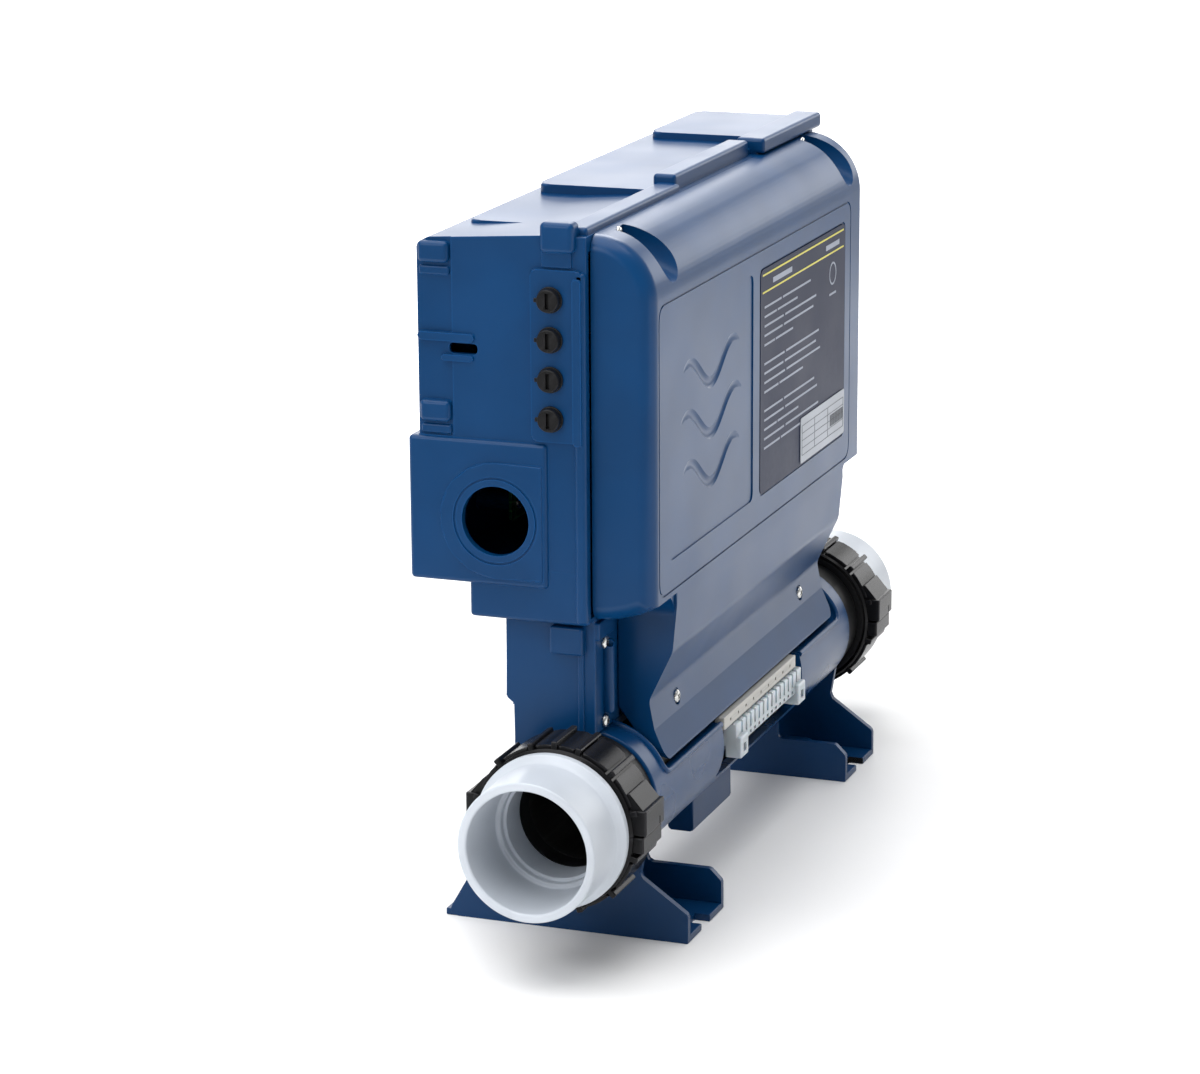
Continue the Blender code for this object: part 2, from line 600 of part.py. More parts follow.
def tailpiece(side, tag):
    """White pipe socket with the ring and flange that the split nut grips."""
    end = FITTING_U - 0.0005
    groove = SEAL_WIRE_R + GAP
    depth = 2 * SEAL_WIRE_R + GAP
    profile = [(0, SOCKET_R), (0, RIM_R), (0.0290, 0.0348), (0.0320, 0.0385), (0.0360, 0.0385),
               (0.0360, 0.0350), (0.0432, 0.0350), (0.0432, 0.0372), (end, 0.0372), (end, SEAL_R + groove),
               (end - depth, SEAL_R + groove), (end - depth, SEAL_R - groove), (end, SEAL_R - groove),
               (end, BORE_R), (SOCKET_DEPTH, BORE_R), (SOCKET_DEPTH, SOCKET_R - 0.0004)]
    profile = [(-side * u, r) for u, r in profile]
    made = smooth(turned("tailpiece_" + tag, profile, on_axis(side), 48, white_plastic()), 30)
    return move_origin(made, on_axis(side))


def seal_ring(side, tag):
    middle = FITTING_U - 0.0005 - SEAL_WIRE_R - GAP
    profile = [(-side * middle + SEAL_WIRE_R * cos(tau * i / 6), SEAL_R + SEAL_WIRE_R * sin(tau * i / 6))
               for i in range(6)]
    return smooth(turned("o_ring_" + tag, profile, on_axis(side), 24, material("seal_rubber", BLACK, 0.8)), 60)


def nut_half(side, tag, upper):
    """Half of the split nut; the upper half carries the latch lugs, the lower one the catches."""
    low, high = NUT_U
    profile = [(low, 0.0356), (low, NUT_R - 0.0015), (low + 0.0015, NUT_R), (high - 0.001, NUT_R),
               (high, NUT_R - 0.001), (high, 0.0382), (0.0430, 0.0382), (0.0430, 0.0356)]
    profile = [(-side * u, r) for u, r in profile]
    name = "nut_" + ("upper_" if upper else "lower_") + tag
    half = turned(name, profile, on_axis(side), 36, black_plastic())
    sign = 1 if upper else -1
    middle_x = rim_x(side, (low + high) / 2)
    for i in range(RIBS_PER_HALF):
        angle = radians(180 * (i + 0.5) / RIBS_PER_HALF) * sign
        rib = box("rib", (middle_x - 0.0125, -0.0035, NUT_R - 0.0020), (middle_x + 0.0125, 0.0035, NUT_R + 0.0018))
        turn = Matrix.Rotation(angle - pi / 2, 4, "X")
        rib.data.transform(Matrix.Translation((0, TUBE_Y, TUBE_Z)) @ turn)
        join(half, rib)
    for hand in (-1, 1):
        lug_y = sorted((hand * 0.0375, hand * (LUG_R if upper else LUG_R - 0.0025)))
        lug_z = (0.0010, 0.0125) if upper else (-0.0070, -0.0010)
        join(half, box("lug", (middle_x - 0.0130, TUBE_Y + lug_y[0], TUBE_Z + lug_z[0]),
                       (middle_x + 0.0130, TUBE_Y + lug_y[1], TUBE_Z + lug_z[1])))
    cut(half, rod("nut_bore", (rim_x(side, 0.0425), TUBE_Y, TUBE_Z), (rim_x(side, 0.0800), TUBE_Y, TUBE_Z),
                  0.0382, 36))
    away = (TUBE_Z - 0.060, TUBE_Z + GAP / 2) if upper else (TUBE_Z - GAP / 2, TUBE_Z + 0.060)
    cut(half, box("half_cutter", (middle_x - 0.030, TUBE_Y - 0.060, away[0]),
                  (middle_x + 0.030, TUBE_Y + 0.060, away[1])))
    return move_origin(half, (middle_x, TUBE_Y, TUBE_Z))


RIBS_PER_HALF = 5


# ---------------------------------------------------------------- feet and cable hook
def foot(side, tag):
    """Channel foot: a tall outboard web with a saddle, a floor plate and a low inboard web."""
    def across(distance):
        return side * (FOOT_X - distance)

    def slab(name, outline, start, end):
        low_x, high_x = sorted((across(start), across(end)))
        return prism_x(name, outline, low_x, high_x, blue_plastic())

    def from_axis(points):
        return [(TUBE_Y + y, TUBE_Z + z) for y, z in points]

    tall = from_axis([(-0.0500, -0.0700), (0.0775, -0.0700), (0.0550, -0.0310), (0.0340, -0.0100),
                      (-0.0300, -0.0100), (-0.0252, -0.0379), (-0.0500, -0.0553)])
    made = slab("foot_" + tag, tall, 0, FOOT_WALL)
    join(made, slab("floor_plate", [(FRONT_TOE_Y, 0), (FOOT_BACK_Y, 0), (FOOT_BACK_Y, FOOT_WALL),
                                    (FRONT_TOE_Y, FOOT_WALL)], 0, FOOT_WIDTH))
    low_web = [(FRONT_TOE_Y, 0), (FOOT_BACK_Y, 0), (FOOT_BACK_Y, 0.012), (FOOT_BACK_Y - 0.009, 0.0212),
               (TUBE_Y + 0.024, 0.0212), (TUBE_Y + 0.024, 0.045), (TUBE_Y - 0.0105, 0.045),
               (TUBE_Y - 0.0105, 0.0212)] + arc((FRONT_TOE_Y + 0.006, 0.0152), 0.006, 90, 180, 4)
    join(made, slab("low_web", low_web, FOOT_WIDTH - FOOT_WALL, FOOT_WIDTH))
    rib = [(FRONT_TOE_Y + 0.026, 0.001), (TUBE_Y + 0.030, 0.001), (TUBE_Y + 0.030, 0.014)] \
        + arc((FRONT_TOE_Y + 0.031, 0.009), 0.005, 90, 180, 3)
    join(made, slab("inner_rib", rib, 0.026, 0.029))
    low_x, high_x = sorted((across(0.0205), across(0.0335)))
    cut(made, box("toe_notch", (low_x, FRONT_TOE_Y - 0.005, -0.005), (high_x, FRONT_TOE_Y + 0.008, 0.010)))
    cut(made, rod("saddle", (-HALF_LENGTH, TUBE_Y, TUBE_Z), (HALF_LENGTH, TUBE_Y, TUBE_Z), JACKET_R + GAP, 48))
    return made


def cable_hook():
    """Small tray under the jacket that keeps the leads off the floor."""
    low_x, high_x = -0.0665, -0.0055
    floor = 0.0240
    outline = [(TUBE_Y - 0.0205, floor), (TUBE_Y - 0.0070, floor), (TUBE_Y - 0.0070, 0.0400),
               (TUBE_Y - 0.0205, 0.0480)]
    hook = prism_x("cable_hook", outline, low_x, high_x, blue_plastic())
    cut(hook, rod("saddle", (-HALF_LENGTH, TUBE_Y, TUBE_Z), (HALF_LENGTH, TUBE_Y, TUBE_Z), JACKET_R + GAP, 48))
    cut(hook, box("hook_hollow", (low_x + 0.003, TUBE_Y - 0.0180, floor + 0.003),
                  (high_x + 0.010, TUBE_Y - 0.0095, 0.0600)))
    return hook


# ---------------------------------------------------------------- electronics inside the tray
def circuit_board():
    board = box("circuit_board", (BOARD_X[0], BOARD_Y, BOARD_Z[0]), (BOARD_X[1], BOARD_Y + BOARD_T, BOARD_Z[1]),
                material("board_green", (0.02, 0.16, 0.07), 0.5))
    for x, z in BOARD_CORNERS:
        cut(board, hole_y(x, z, HOLE_R, BOARD_Y - 0.01, BOARD_Y + 0.01))
    return board


def on_board(name, x, z, size, finish):
    """A component that stands on the board's front: size is width, depth, height."""
    width, depth, height = size
    return box(name, (x - width / 2, BOARD_Y - GAP - depth, z - height / 2),
               (x + width / 2, BOARD_Y - GAP, z + height / 2), finish)


def electronics():
    circuit_board()
    core = on_board("transformer", 0.090, 0.235, (0.056, 0.028, 0.048),
                    material("transformer_core", (0.20, 0.19, 0.18), 0.6, 0.5))
    middle = (0.090, BOARD_Y - GAP, 0.235)
    join(core, box("winding", (middle[0] - 0.018, middle[1] - 0.032, middle[2] - 0.030),
                   (middle[0] + 0.018, middle[1] - 0.004, middle[2] + 0.030)))
    for i in range(RELAY_COUNT):
        on_board(f"relay_{i + 1}", -0.075 + i * 0.036, 0.296, (0.029, 0.022, 0.025),
                 material("relay_case", (0.02, 0.03, 0.05), 0.4))
    strip = on_board("terminal_strip", -0.060, 0.215, (0.070, 0.018, 0.020),
                     material("strip_green", (0.05, 0.25, 0.12), 0.5))
    for i in range(TERMINAL_WAYS):
        x = -0.060 + (i - (TERMINAL_WAYS - 1) / 2) * 0.0115
        cut(strip, box("wire_way", (x - 0.0035, BOARD_Y - 0.030, 0.2070), (x + 0.0035, BOARD_Y - 0.010, 0.2160)))
    for i, (x, z) in enumerate(BOARD_CORNERS):
        screw(f"board_screw_{i + 1}", x, z, BOARD_Y, 0.0060)


RELAY_COUNT = 4
TERMINAL_WAYS = 5


def cover_screws():
    for tag, x in zip(("left", "right"), TOP_SCREW_X):
        screw("top_screw_" + tag, x, TOP_SCREW_Z, PARTING_Y - 0.0035, 0.0120)
    for tag, x in zip(("left", "right"), SKIRT_SCREW_X):
        screw("skirt_screw_" + tag, x, SKIRT_SCREW_Z, SKIRT_SEAT_Y, 0.0150)
    for tag, x in zip(("left", "right"), NECK_SCREW_X):
        for level, z in zip(("low", "high"), NECK_SCREW_Z):
            screw(f"neck_screw_{tag}_{level}", x, z, PARTING_Y, 0.0050)


def main():
    clear_scene()
    rear_housing()
    front_cover()
    cover_gasket()
    label_plate()
    data_sticker()
    cover_screws()
    for index in range(FUSE_COUNT):
        fuse_set(index)
    heater_jacket()
    heater_tube()
    heating_element()
    terminal_nuts()
    sensor_pieces()
    for side, tag in ((-1, "left"), (1, "right")):
        end_fitting(side, tag)
        tailpiece(side, tag)
        seal_ring(side, tag)
        nut_half(side, tag, True)
        nut_half(side, tag, False)
        foot(side, tag)
    cable_hook()
    electronics()


main()
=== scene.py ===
"""Looks for the spa control pack: detailed pieces, materials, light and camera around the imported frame.

Everything is in metres in the frame's axes: +X along the heater tube, -Y the labelled front, +Z up.
"u" is a distance along the tube from the outer rim of a pipe union, and "side" is -1 or +1 in X.
"""
from math import acos, atan2, cos, degrees, pi, radians, sin, tau

import bmesh
import bpy
from mathutils import Matrix, Vector

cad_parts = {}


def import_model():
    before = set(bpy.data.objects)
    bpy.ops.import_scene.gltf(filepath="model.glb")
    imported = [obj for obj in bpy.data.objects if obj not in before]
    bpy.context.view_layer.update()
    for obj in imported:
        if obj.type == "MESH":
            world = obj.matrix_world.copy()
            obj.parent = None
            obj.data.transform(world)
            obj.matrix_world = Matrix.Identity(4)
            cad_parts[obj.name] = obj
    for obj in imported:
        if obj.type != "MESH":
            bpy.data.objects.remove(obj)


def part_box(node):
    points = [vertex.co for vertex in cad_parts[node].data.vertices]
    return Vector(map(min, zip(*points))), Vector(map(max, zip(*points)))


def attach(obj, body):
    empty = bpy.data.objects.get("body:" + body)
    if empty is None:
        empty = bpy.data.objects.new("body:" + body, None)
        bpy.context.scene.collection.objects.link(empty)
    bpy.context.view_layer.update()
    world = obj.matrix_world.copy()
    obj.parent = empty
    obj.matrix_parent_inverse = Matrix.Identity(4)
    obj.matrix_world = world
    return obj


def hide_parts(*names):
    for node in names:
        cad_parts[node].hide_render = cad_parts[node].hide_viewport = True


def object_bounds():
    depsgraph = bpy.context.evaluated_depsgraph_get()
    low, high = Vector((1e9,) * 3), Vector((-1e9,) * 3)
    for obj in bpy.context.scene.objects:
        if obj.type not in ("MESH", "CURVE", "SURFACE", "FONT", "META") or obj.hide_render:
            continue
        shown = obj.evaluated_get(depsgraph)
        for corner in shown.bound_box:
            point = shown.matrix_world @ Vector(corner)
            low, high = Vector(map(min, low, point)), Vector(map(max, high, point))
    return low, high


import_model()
CAD_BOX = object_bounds()

GAP = 0.0003
LOW, HIGH = CAD_BOX
HALF_LENGTH = (HIGH[0] - LOW[0]) / 2
TUBE_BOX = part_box("heater_tube")
TUBE_Y = (TUBE_BOX[0].y + TUBE_BOX[1].y) / 2
TUBE_Z = (TUBE_BOX[0].z + TUBE_BOX[1].z) / 2

# enclosure, as in the frame
WALL = 0.003
COVER_WALL = 0.0026
PARTING_Y = -0.0235
TRAY_HALF = 0.1775
TRAY_BACK_Y = 0.0625
TRAY_TOP_Z = 0.3455
BACK_Y = 0.0675
RIDGE_BACK_Y = -0.0050
CABLE_BOX_Z = (0.1785, 0.2495)
STEP_BOX_Z = 0.1615
STEP_BOX_Y = 0.0375
NECK_HALF = 0.1690
NECK_SHELF_Z = 0.120
NECK_Y = 0.0225
NECK_LOW_Y = 0.0186
NECK_BOTTOM_Z = 0.078
PAD_RISE = 0.002
COVER_HALF = 0.1725
COVER_END_R = 0.0080
SKIRT_HALF = 0.1385
COVER_FRONT_Y = -0.0545
COVER_TOP_Z = 0.3497
SHOULDER_R = 0.0310
COVER_BOTTOM_Z = 0.1625
COVER_FLOOR_Y = -0.0240
COVER_FLOOR_R = 0.0585
FOLD_Z = 0.1150
FOLD_Y = -0.0400
CREASE_Z = 0.1005
CREASE_Y = -0.0428
SKIRT_Z = 0.0845
SKIRT_Y = -0.0498
SKIRT_BACK_Y = -0.0440
SKIRT_TOP_Z = 0.1745
SKIRT_BEND_Z = 0.1645
SKIRT_SLOPE_Z = 0.1410
SKIRT_SLOPE_Y = COVER_FRONT_Y + 0.0022
GUSSET_R = 0.014
CABLE_Y = 0.0227
CABLE_Z = 0.2104
CABLE_R = 0.01715
TOP_STEPS = ((0.108, 0.0690, 0.2778), (0.188, 0.0640, 0.2828), (0.341, 0.0590, 0.2868))
RIDGES = ((-TRAY_HALF + 0.004, -0.0405, -0.0225, -0.0100, 0.3535),
          (-0.0425, 0.0745, -0.0205, -0.0085, 0.3580),
          (0.0790, TRAY_HALF + 0.003, -0.0275, -0.0120, 0.3585))
EMBLEM_RECESS = (-0.1485, -0.0210, 0.1890, 0.3060)
LABEL_RECESS = (-0.0105, 0.1385, 0.1880, 0.3065)

# heater and unions
JACKET_R = 0.0350
COLLAR_R = 0.0335
JACKET_BORE_R = 0.0310
JACKET_END_U = 0.0860
TUBE_R = 0.0270
BORE_R = 0.0255
TUBE_END_U = 0.0700
FITTING_U = 0.0580
SOCKET_R = 0.03015
SOCKET_DEPTH = 0.0360
RIM_R = 0.0345
NUT_R = 0.0415
NUT_BORE_R = 0.0384
NUT_SEAT_R = 0.0356
NUT_U = (0.0363, 0.0675)
LUG_R = 0.0460
SENSOR_WINDOW_X = (-0.0600, 0.0720)
TERMINAL_X = (-0.065, 0.065)

TOP_SCREW_X = (-0.1445, 0.1445)
TOP_SCREW_Z = COVER_TOP_Z - 0.0035
SKIRT_SCREW_X = (-0.1015, 0.1015)
SKIRT_SCREW_Z = 0.107
SKIRT_SEAT_Y = -0.0405
NECK_SCREW_X = (-0.1570, 0.1570)
NECK_SCREW_Z = (0.1088, 0.1487)
HEAD_R = 0.0035
HOLE_R = 0.0022
FUSE_Y = -0.0062
FUSE_Z = [0.3196 - 0.01907 * i for i in range(4)]
HOLDER_R = 0.0056

# studio and looks
# how much lighter a colour is made along edges by the painted edge highlight
EDGE_HIGHLIGHT_LIFT = 1.7
FLOOR_REACH = 9.0
CARD_Z = 0.02
WORLD_STOPS = ((0.0, 0.27), (0.45, 0.42), (1.0, 0.75))


# ---------------------------------------------------------------- materials
class Nodes:
    """Short hand for building one material's node tree."""

    def __init__(self, name):
        self.material = bpy.data.materials.new(name)
        self.material.use_nodes = True
        self.tree = self.material.node_tree
        self.shader = self.tree.nodes["Principled BSDF"]
        self.coordinate = self.tree.nodes.new("ShaderNodeTexCoord").outputs["Object"]

    def add(self, kind, **values):
        node = self.tree.nodes.new(kind)
        for key, value in values.items():
            setattr(node, key, value)
        return node

    def link(self, source, target):
        self.tree.links.new(source, target)

    def set(self, **values):
        for key, value in values.items():
            self.shader.inputs[key.replace("_", " ")].default_value = value

    def noise(self, scale, detail=3.0, stretch=None):
        node = self.add("ShaderNodeTexNoise")
        node.inputs["Scale"].default_value = scale
        node.inputs["Detail"].default_value = detail
        source = self.coordinate
        if stretch:
            mapping = self.add("ShaderNodeMapping")
            mapping.inputs["Scale"].default_value = stretch
            self.link(source, mapping.inputs["Vector"])
            source = mapping.outputs["Vector"]
        self.link(source, node.inputs["Vector"])
        return node.outputs["Fac"]

    def ramp(self, source, stops):
        node = self.add("ShaderNodeValToRGB")
        elements = node.color_ramp.elements
        while len(elements) < len(stops):
            elements.new(0.5)
        for element, (position, color) in zip(elements, stops):
            element.position = position
            element.color = (*color, 1.0)
        self.link(source, node.inputs["Fac"])
        return node.outputs["Color"]

    def ranged(self, source, low, high):
        node = self.add("ShaderNodeMapRange")
        node.inputs["From Min"].default_value = 0.3
        node.inputs["From Max"].default_value = 0.7
        node.inputs["To Min"].default_value = low
        node.inputs["To Max"].default_value = high
        self.link(source, node.inputs["Value"])
        return node.outputs["Result"]

    def mixed(self, factor, one, other):
        node = self.add("ShaderNodeMix", data_type="RGBA")
        self.link(factor, node.inputs["Factor"])
        for socket, value in (("A", one), ("B", other)):
            target = [s for s in node.inputs if s.name == socket and s.type == "RGBA"][0]
            if isinstance(value, tuple):
                target.default_value = (*value, 1.0)
            else:
                self.link(value, target)
        return [s for s in node.outputs if s.type == "RGBA"][0]

    def edges(self, low=0.51, high=0.56):
        """A mask that is 1 along convex edges: partly worn edges, partly a painted edge highlight."""
        pointiness = self.add("ShaderNodeNewGeometry").outputs["Pointiness"]
        return self.ramp(pointiness, ((low, (0, 0, 0)), (high, (1, 1, 1))))

    def rims(self, radius):
        """A mask that is 1 along edges, from how far a rounded normal leans from the flat one; it paints a
        highlight along the edges.
        """
        rounded = self.add("ShaderNodeBevel", samples=4)
        rounded.inputs["Radius"].default_value = radius
        lean = self.add("ShaderNodeVectorMath", operation="DOT_PRODUCT")
        self.link(rounded.outputs["Normal"], lean.inputs[0])
        self.link(self.add("ShaderNodeNewGeometry").outputs["Normal"], lean.inputs[1])
        return self.ramp(lean.outputs["Value"], ((0.80, (1, 1, 1)), (0.985, (0, 0, 0))))

    def bump(self, height, distance, strength=1.0, under=None):
        node = self.add("ShaderNodeBump")
        node.inputs["Strength"].default_value = strength
        node.inputs["Distance"].default_value = distance
        self.link(height, node.inputs["Height"])
        if under:
            self.link(under, node.inputs["Normal"])
        return node.outputs["Normal"]

    def base(self, socket):
        self.link(socket, self.shader.inputs["Base Color"])

    def roughness(self, socket):
        self.link(socket, self.shader.inputs["Roughness"])

    def normal(self, socket):
        self.link(socket, self.shader.inputs["Normal"])


def scaled(color, factor):
    return tuple(min(1.0, part * factor) for part in color)


def plastic(name, color, roughness, grain=380.0, grain_depth=0.000008, wear_and_highlight=None, rim=None, **values):
    """Moulded plastic: faint flow marks, fine grain and paler edges; convex edges are partly worn and partly
    a painted highlight, and a rim radius paints a highlight along all edges.
    """
    made = Nodes(name)
    flow = made.noise(22.0, 2.0)
    tint = made.ramp(flow, ((0.35, scaled(color, 0.93)), (0.65, scaled(color, 1.07))))
    # lighter convex edges: partly worn, partly a painted highlight where edges catch light
    if wear_and_highlight:
        tint = made.mixed(made.edges(), tint, scaled(color, wear_and_highlight))
    # painted highlight: lighter colour along every edge, where a rounded edge would catch light
    if rim:
        tint = made.mixed(made.rims(rim), tint, scaled(color, EDGE_HIGHLIGHT_LIFT))
    made.base(tint)
    made.roughness(made.ranged(made.noise(25.0, 1.0), roughness - 0.02, roughness + 0.025))
    fine = made.bump(made.noise(grain, 2.0), grain_depth, 0.30)
    made.normal(made.bump(made.noise(14.0, 0.0), 0.00006, 0.15, fine))
    made.set(**values)
    return made.material


def metal(name, color, roughness, stretch=(1, 1, 1), scale=900.0, depth=0.00003):
    """Bare metal with drawn or brushed marks along the least stretched axis."""
    made = Nodes(name)
    marks = made.noise(scale, 3.0, stretch)
    made.base(made.ramp(marks, ((0.3, scaled(color, 0.86)), (0.7, scaled(color, 1.08)))))
    made.roughness(made.ranged(made.noise(scale * 0.4, 3.0, stretch), roughness - 0.06, roughness + 0.10))
    made.normal(made.bump(marks, depth, 0.5))
    made.set(Metallic=1.0)
    return made.material


def banded(name, one, other, pitch, axis, roughness, metallic=0.0):
    """Stacked layers or windings across one axis."""
    made = Nodes(name)
    wave = made.add("ShaderNodeTexWave", bands_direction=axis)
    wave.inputs["Scale"].default_value = 1 / (pitch * 20)
    wave.inputs["Distortion"].default_value = 0.4
    wave.inputs["Detail"].default_value = 1.0
    made.link(made.coordinate, wave.inputs["Vector"])
    made.base(made.ramp(wave.outputs["Fac"], ((0.25, one), (0.75, other))))
    made.roughness(made.ranged(made.noise(120.0), roughness - 0.05, roughness + 0.08))
    made.normal(made.bump(wave.outputs["Fac"], 0.0002, 0.6))
    made.set(Metallic=metallic)
    return made.material


def board_mask():
    """Green solder mask with copper tracks under it."""
    made = Nodes("board_mask")
    tracks = made.add("ShaderNodeTexBrick", offset=0.35, squash=0.6)
    tracks.inputs["Scale"].default_value = 55.0
    tracks.inputs["Mortar Size"].default_value = 0.03
    tracks.inputs["Color1"].default_value = (0.012, 0.110, 0.045, 1)
    tracks.inputs["Color2"].default_value = (0.016, 0.135, 0.055, 1)
    tracks.inputs["Mortar"].default_value = (0.045, 0.240, 0.090, 1)
    turn = made.add("ShaderNodeMapping")
    turn.inputs["Rotation"].default_value = (pi / 2, 0, 0)
    made.link(made.coordinate, turn.inputs["Vector"])
    made.link(turn.outputs["Vector"], tracks.inputs["Vector"])
    made.base(tracks.outputs["Color"])
    made.roughness(made.ranged(made.noise(90.0), 0.28, 0.42))
    made.normal(made.bump(tracks.outputs["Fac"], 0.00006, 0.5))
    return made.material


def print_film():
    """Dark printed film, a little darker towards the top."""
    made = Nodes("print_film")
    split = made.add("ShaderNodeSeparateXYZ")
    made.link(made.coordinate, split.inputs["Vector"])
    climb = made.add("ShaderNodeMapRange")
    climb.inputs["From Min"].default_value = LABEL_RECESS[2]
    climb.inputs["From Max"].default_value = LABEL_RECESS[3]
    made.link(split.outputs["Z"], climb.inputs["Value"])
    shade = made.ramp(climb.outputs["Result"], ((0.0, (0.040, 0.048, 0.085)), (0.55, (0.030, 0.036, 0.070)),
                                                (1.0, (0.012, 0.018, 0.045))))
    made.base(made.mixed(made.noise(300.0), shade, (0.020, 0.026, 0.055)))
    made.roughness(made.ranged(made.noise(30.0, 1.0), 0.46, 0.52))
    made.normal(made.bump(made.noise(380.0), 0.000005, 0.2))
    made.set(Specular_IOR_Level=0.13)
    return made.material


BLUE = (0.0010, 0.0400, 0.1310)
MATERIALS = {
    "housing": plastic("housing_blue", BLUE, 0.33, rim=0.0011, Specular_IOR_Level=0.22),
    "cover": plastic("cover_blue", (0.0010, 0.0400, 0.1300), 0.30, Specular_IOR_Level=0.23),
    "jacket": plastic("jacket_blue", BLUE, 0.28, Specular_IOR_Level=0.25),
    # darker copy of the housing blue for the feet and cable hook: painted shade, for the deep shade inside
    # the feet
    "foot": plastic("foot_blue_painted_shade", (0.0010, 0.0320, 0.1060), 0.36, Specular_IOR_Level=0.24),
    "black": plastic("nut_black", (0.0060, 0.0060, 0.0068), 0.25, wear_and_highlight=3.0, Specular_IOR_Level=0.14),
    "dull_black": plastic("dull_black", (0.0045, 0.0045, 0.0050), 0.45, wear_and_highlight=2.5, Specular_IOR_Level=0.25),
    "white": plastic("pipe_white", (0.53, 0.57, 0.625), 0.38, Specular_IOR_Level=0.40, Coat_Weight=0.05,
                     Coat_Roughness=0.12),
    "steel": metal("screw_steel", (0.66, 0.66, 0.64), 0.24, scale=2400.0),
    "drawn_steel": metal("drawn_steel", (0.10, 0.098, 0.092), 0.52, (0.02, 1, 1)),
    "alloy": metal("element_alloy", (0.30, 0.28, 0.26), 0.38),
    "brass": metal("nut_brass", (0.66, 0.47, 0.18), 0.28, scale=1600.0),
    "rubber": plastic("seal_rubber", (0.016, 0.016, 0.017), 0.75, grain_depth=0.00003, wear_and_highlight=1.6),
    "film": print_film(),
    "ink": plastic("grey_ink", (0.34, 0.37, 0.44), 0.60, Specular_IOR_Level=0.2),
    "yellow_ink": plastic("yellow_ink", (0.62, 0.56, 0.05), 0.42),
    "paper": plastic("sticker_white", (0.40, 0.43, 0.48), 0.50),
    "rule": plastic("sticker_rule", (0.10, 0.11, 0.13), 0.5),
    "ceramic": plastic("fuse_ceramic", (0.74, 0.73, 0.68), 0.40),
    "strip": plastic("strip_beige", (0.42, 0.41, 0.38), 0.38, wear_and_highlight=1.15),
    "nylon": plastic("natural_nylon", (0.52, 0.58, 0.62), 0.32, wear_and_highlight=1.25, Transmission_Weight=0.12,
                     Subsurface_Weight=0.15, Subsurface_Scale=0.002),
    "tint": plastic("tinted_nylon", (0.16, 0.42, 0.60), 0.32, wear_and_highlight=1.2),
    "board": board_mask(),
    "relay": plastic("relay_case", (0.015, 0.030, 0.060), 0.42, wear_and_highlight=1.6),
    "chip": plastic("chip_case", (0.018, 0.018, 0.019), 0.48, wear_and_highlight=1.8),
    "core": banded("core_plates", (0.045, 0.043, 0.042), (0.12, 0.115, 0.11), 0.0007, "Y", 0.5, 0.6),
    "winding": banded("copper_winding", (0.32, 0.10, 0.03), (0.62, 0.26, 0.09), 0.0006, "Z", 0.32, 0.8),
    "terminal": plastic("terminal_green", (0.030, 0.190, 0.070), 0.42, wear_and_highlight=1.4),
}


# ---------------------------------------------------------------- mesh helpers
def from_bmesh(bm, name="stock"):
    """One mesh object from a closed bmesh, faces pointing out."""
    bmesh.ops.remove_doubles(bm, verts=bm.verts, dist=1e-7)
    bmesh.ops.recalc_face_normals(bm, faces=bm.faces)
    if bm.calc_volume(signed=True) < 0:
        bmesh.ops.reverse_faces(bm, faces=bm.faces)
    mesh = bpy.data.meshes.new(name)
    bm.to_mesh(mesh)
    bm.free()
    made = bpy.data.objects.new(name, mesh)
    bpy.context.scene.collection.objects.link(made)
    return made


def bevel(bm, edges, radius, steps=3):
    bmesh.ops.bevel(bm, geom=edges, offset=radius, offset_type="OFFSET", segments=steps, profile=0.5,
                    affect="EDGES", clamp_overlap=True)


def rounded_box(low, high, radius=0.0, steps=3):
    bm = bmesh.new()
    bmesh.ops.create_cube(bm, size=1.0)
    bmesh.ops.scale(bm, vec=[b - a for a, b in zip(low, high)], verts=bm.verts)
    bmesh.ops.translate(bm, vec=[(a + b) / 2 for a, b in zip(low, high)], verts=bm.verts)
    if radius:
        bevel(bm, bm.edges[:], radius, steps)
    return from_bmesh(bm)


def fillet(points, radius, steps=5):
    """Rounds the corners of a closed outline; radius is one number, or one for each corner."""
    count = len(points)
    radii = radius if isinstance(radius, (list, tuple)) else [radius] * count
    out = []
    for i, point in enumerate(points):
        here = Vector(point)
        before = (Vector(points[i - 1]) - here)
        after = (Vector(points[(i + 1) % count]) - here)
        reach = radii[i]
        if reach <= 0 or before.length < 1e-9 or after.length < 1e-9:
            out.append(tuple(here))
            continue
        half = before.angle(after) / 2
        if half > radians(86):
            out.append(tuple(here))
            continue
        run = min(reach / max(1e-6, abs(sin(half) / cos(half))), before.length * 0.49, after.length * 0.49)
        start = here + before.normalized() * run
        end = here + after.normalized() * run
        for k in range(steps + 1):
            t = k / steps
            first = start.lerp(here, t)
            second = here.lerp(end, t)
            out.append(tuple(first.lerp(second, t)))
    return out


def prism(axis, outline, start, end, radius=0.0, steps=3):
    """A flat outline drawn out along an axis, with both rims rounded by radius."""
    order = {"X": lambda d, a, b: (d, a, b),
             "Y": lambda d, a, b: (a, d, b),
             "Z": lambda d, a, b: (a, b, d)}[axis]
    bm = bmesh.new()
    near = [bm.verts.new(order(start, a, b)) for a, b in outline]
    far = [bm.verts.new(order(end, a, b)) for a, b in outline]
    bm.faces.new(near)
    bm.faces.new(far[::-1])
    count = len(near)
    for i in range(count):
        j = (i + 1) % count
        bm.faces.new((near[i], near[j], far[j], far[i]))
    if radius:
        rims = [edge for edge in bm.edges
                if all(v in near for v in edge.verts) or all(v in far for v in edge.verts)]
        bevel(bm, rims, radius, steps)
    return from_bmesh(bm)


def slab_outline(low_a, high_a, low_b, high_b, radius, steps=5):
    return fillet([(low_a, low_b), (high_a, low_b), (high_a, high_b), (low_a, high_b)], radius, steps)


def arc(centre, radius, start, end, steps):
    points = []
    for i in range(steps + 1):
        angle = radians(start + (end - start) * i / steps)
        points.append((centre[0] + radius * cos(angle), centre[1] + radius * sin(angle)))
    return points


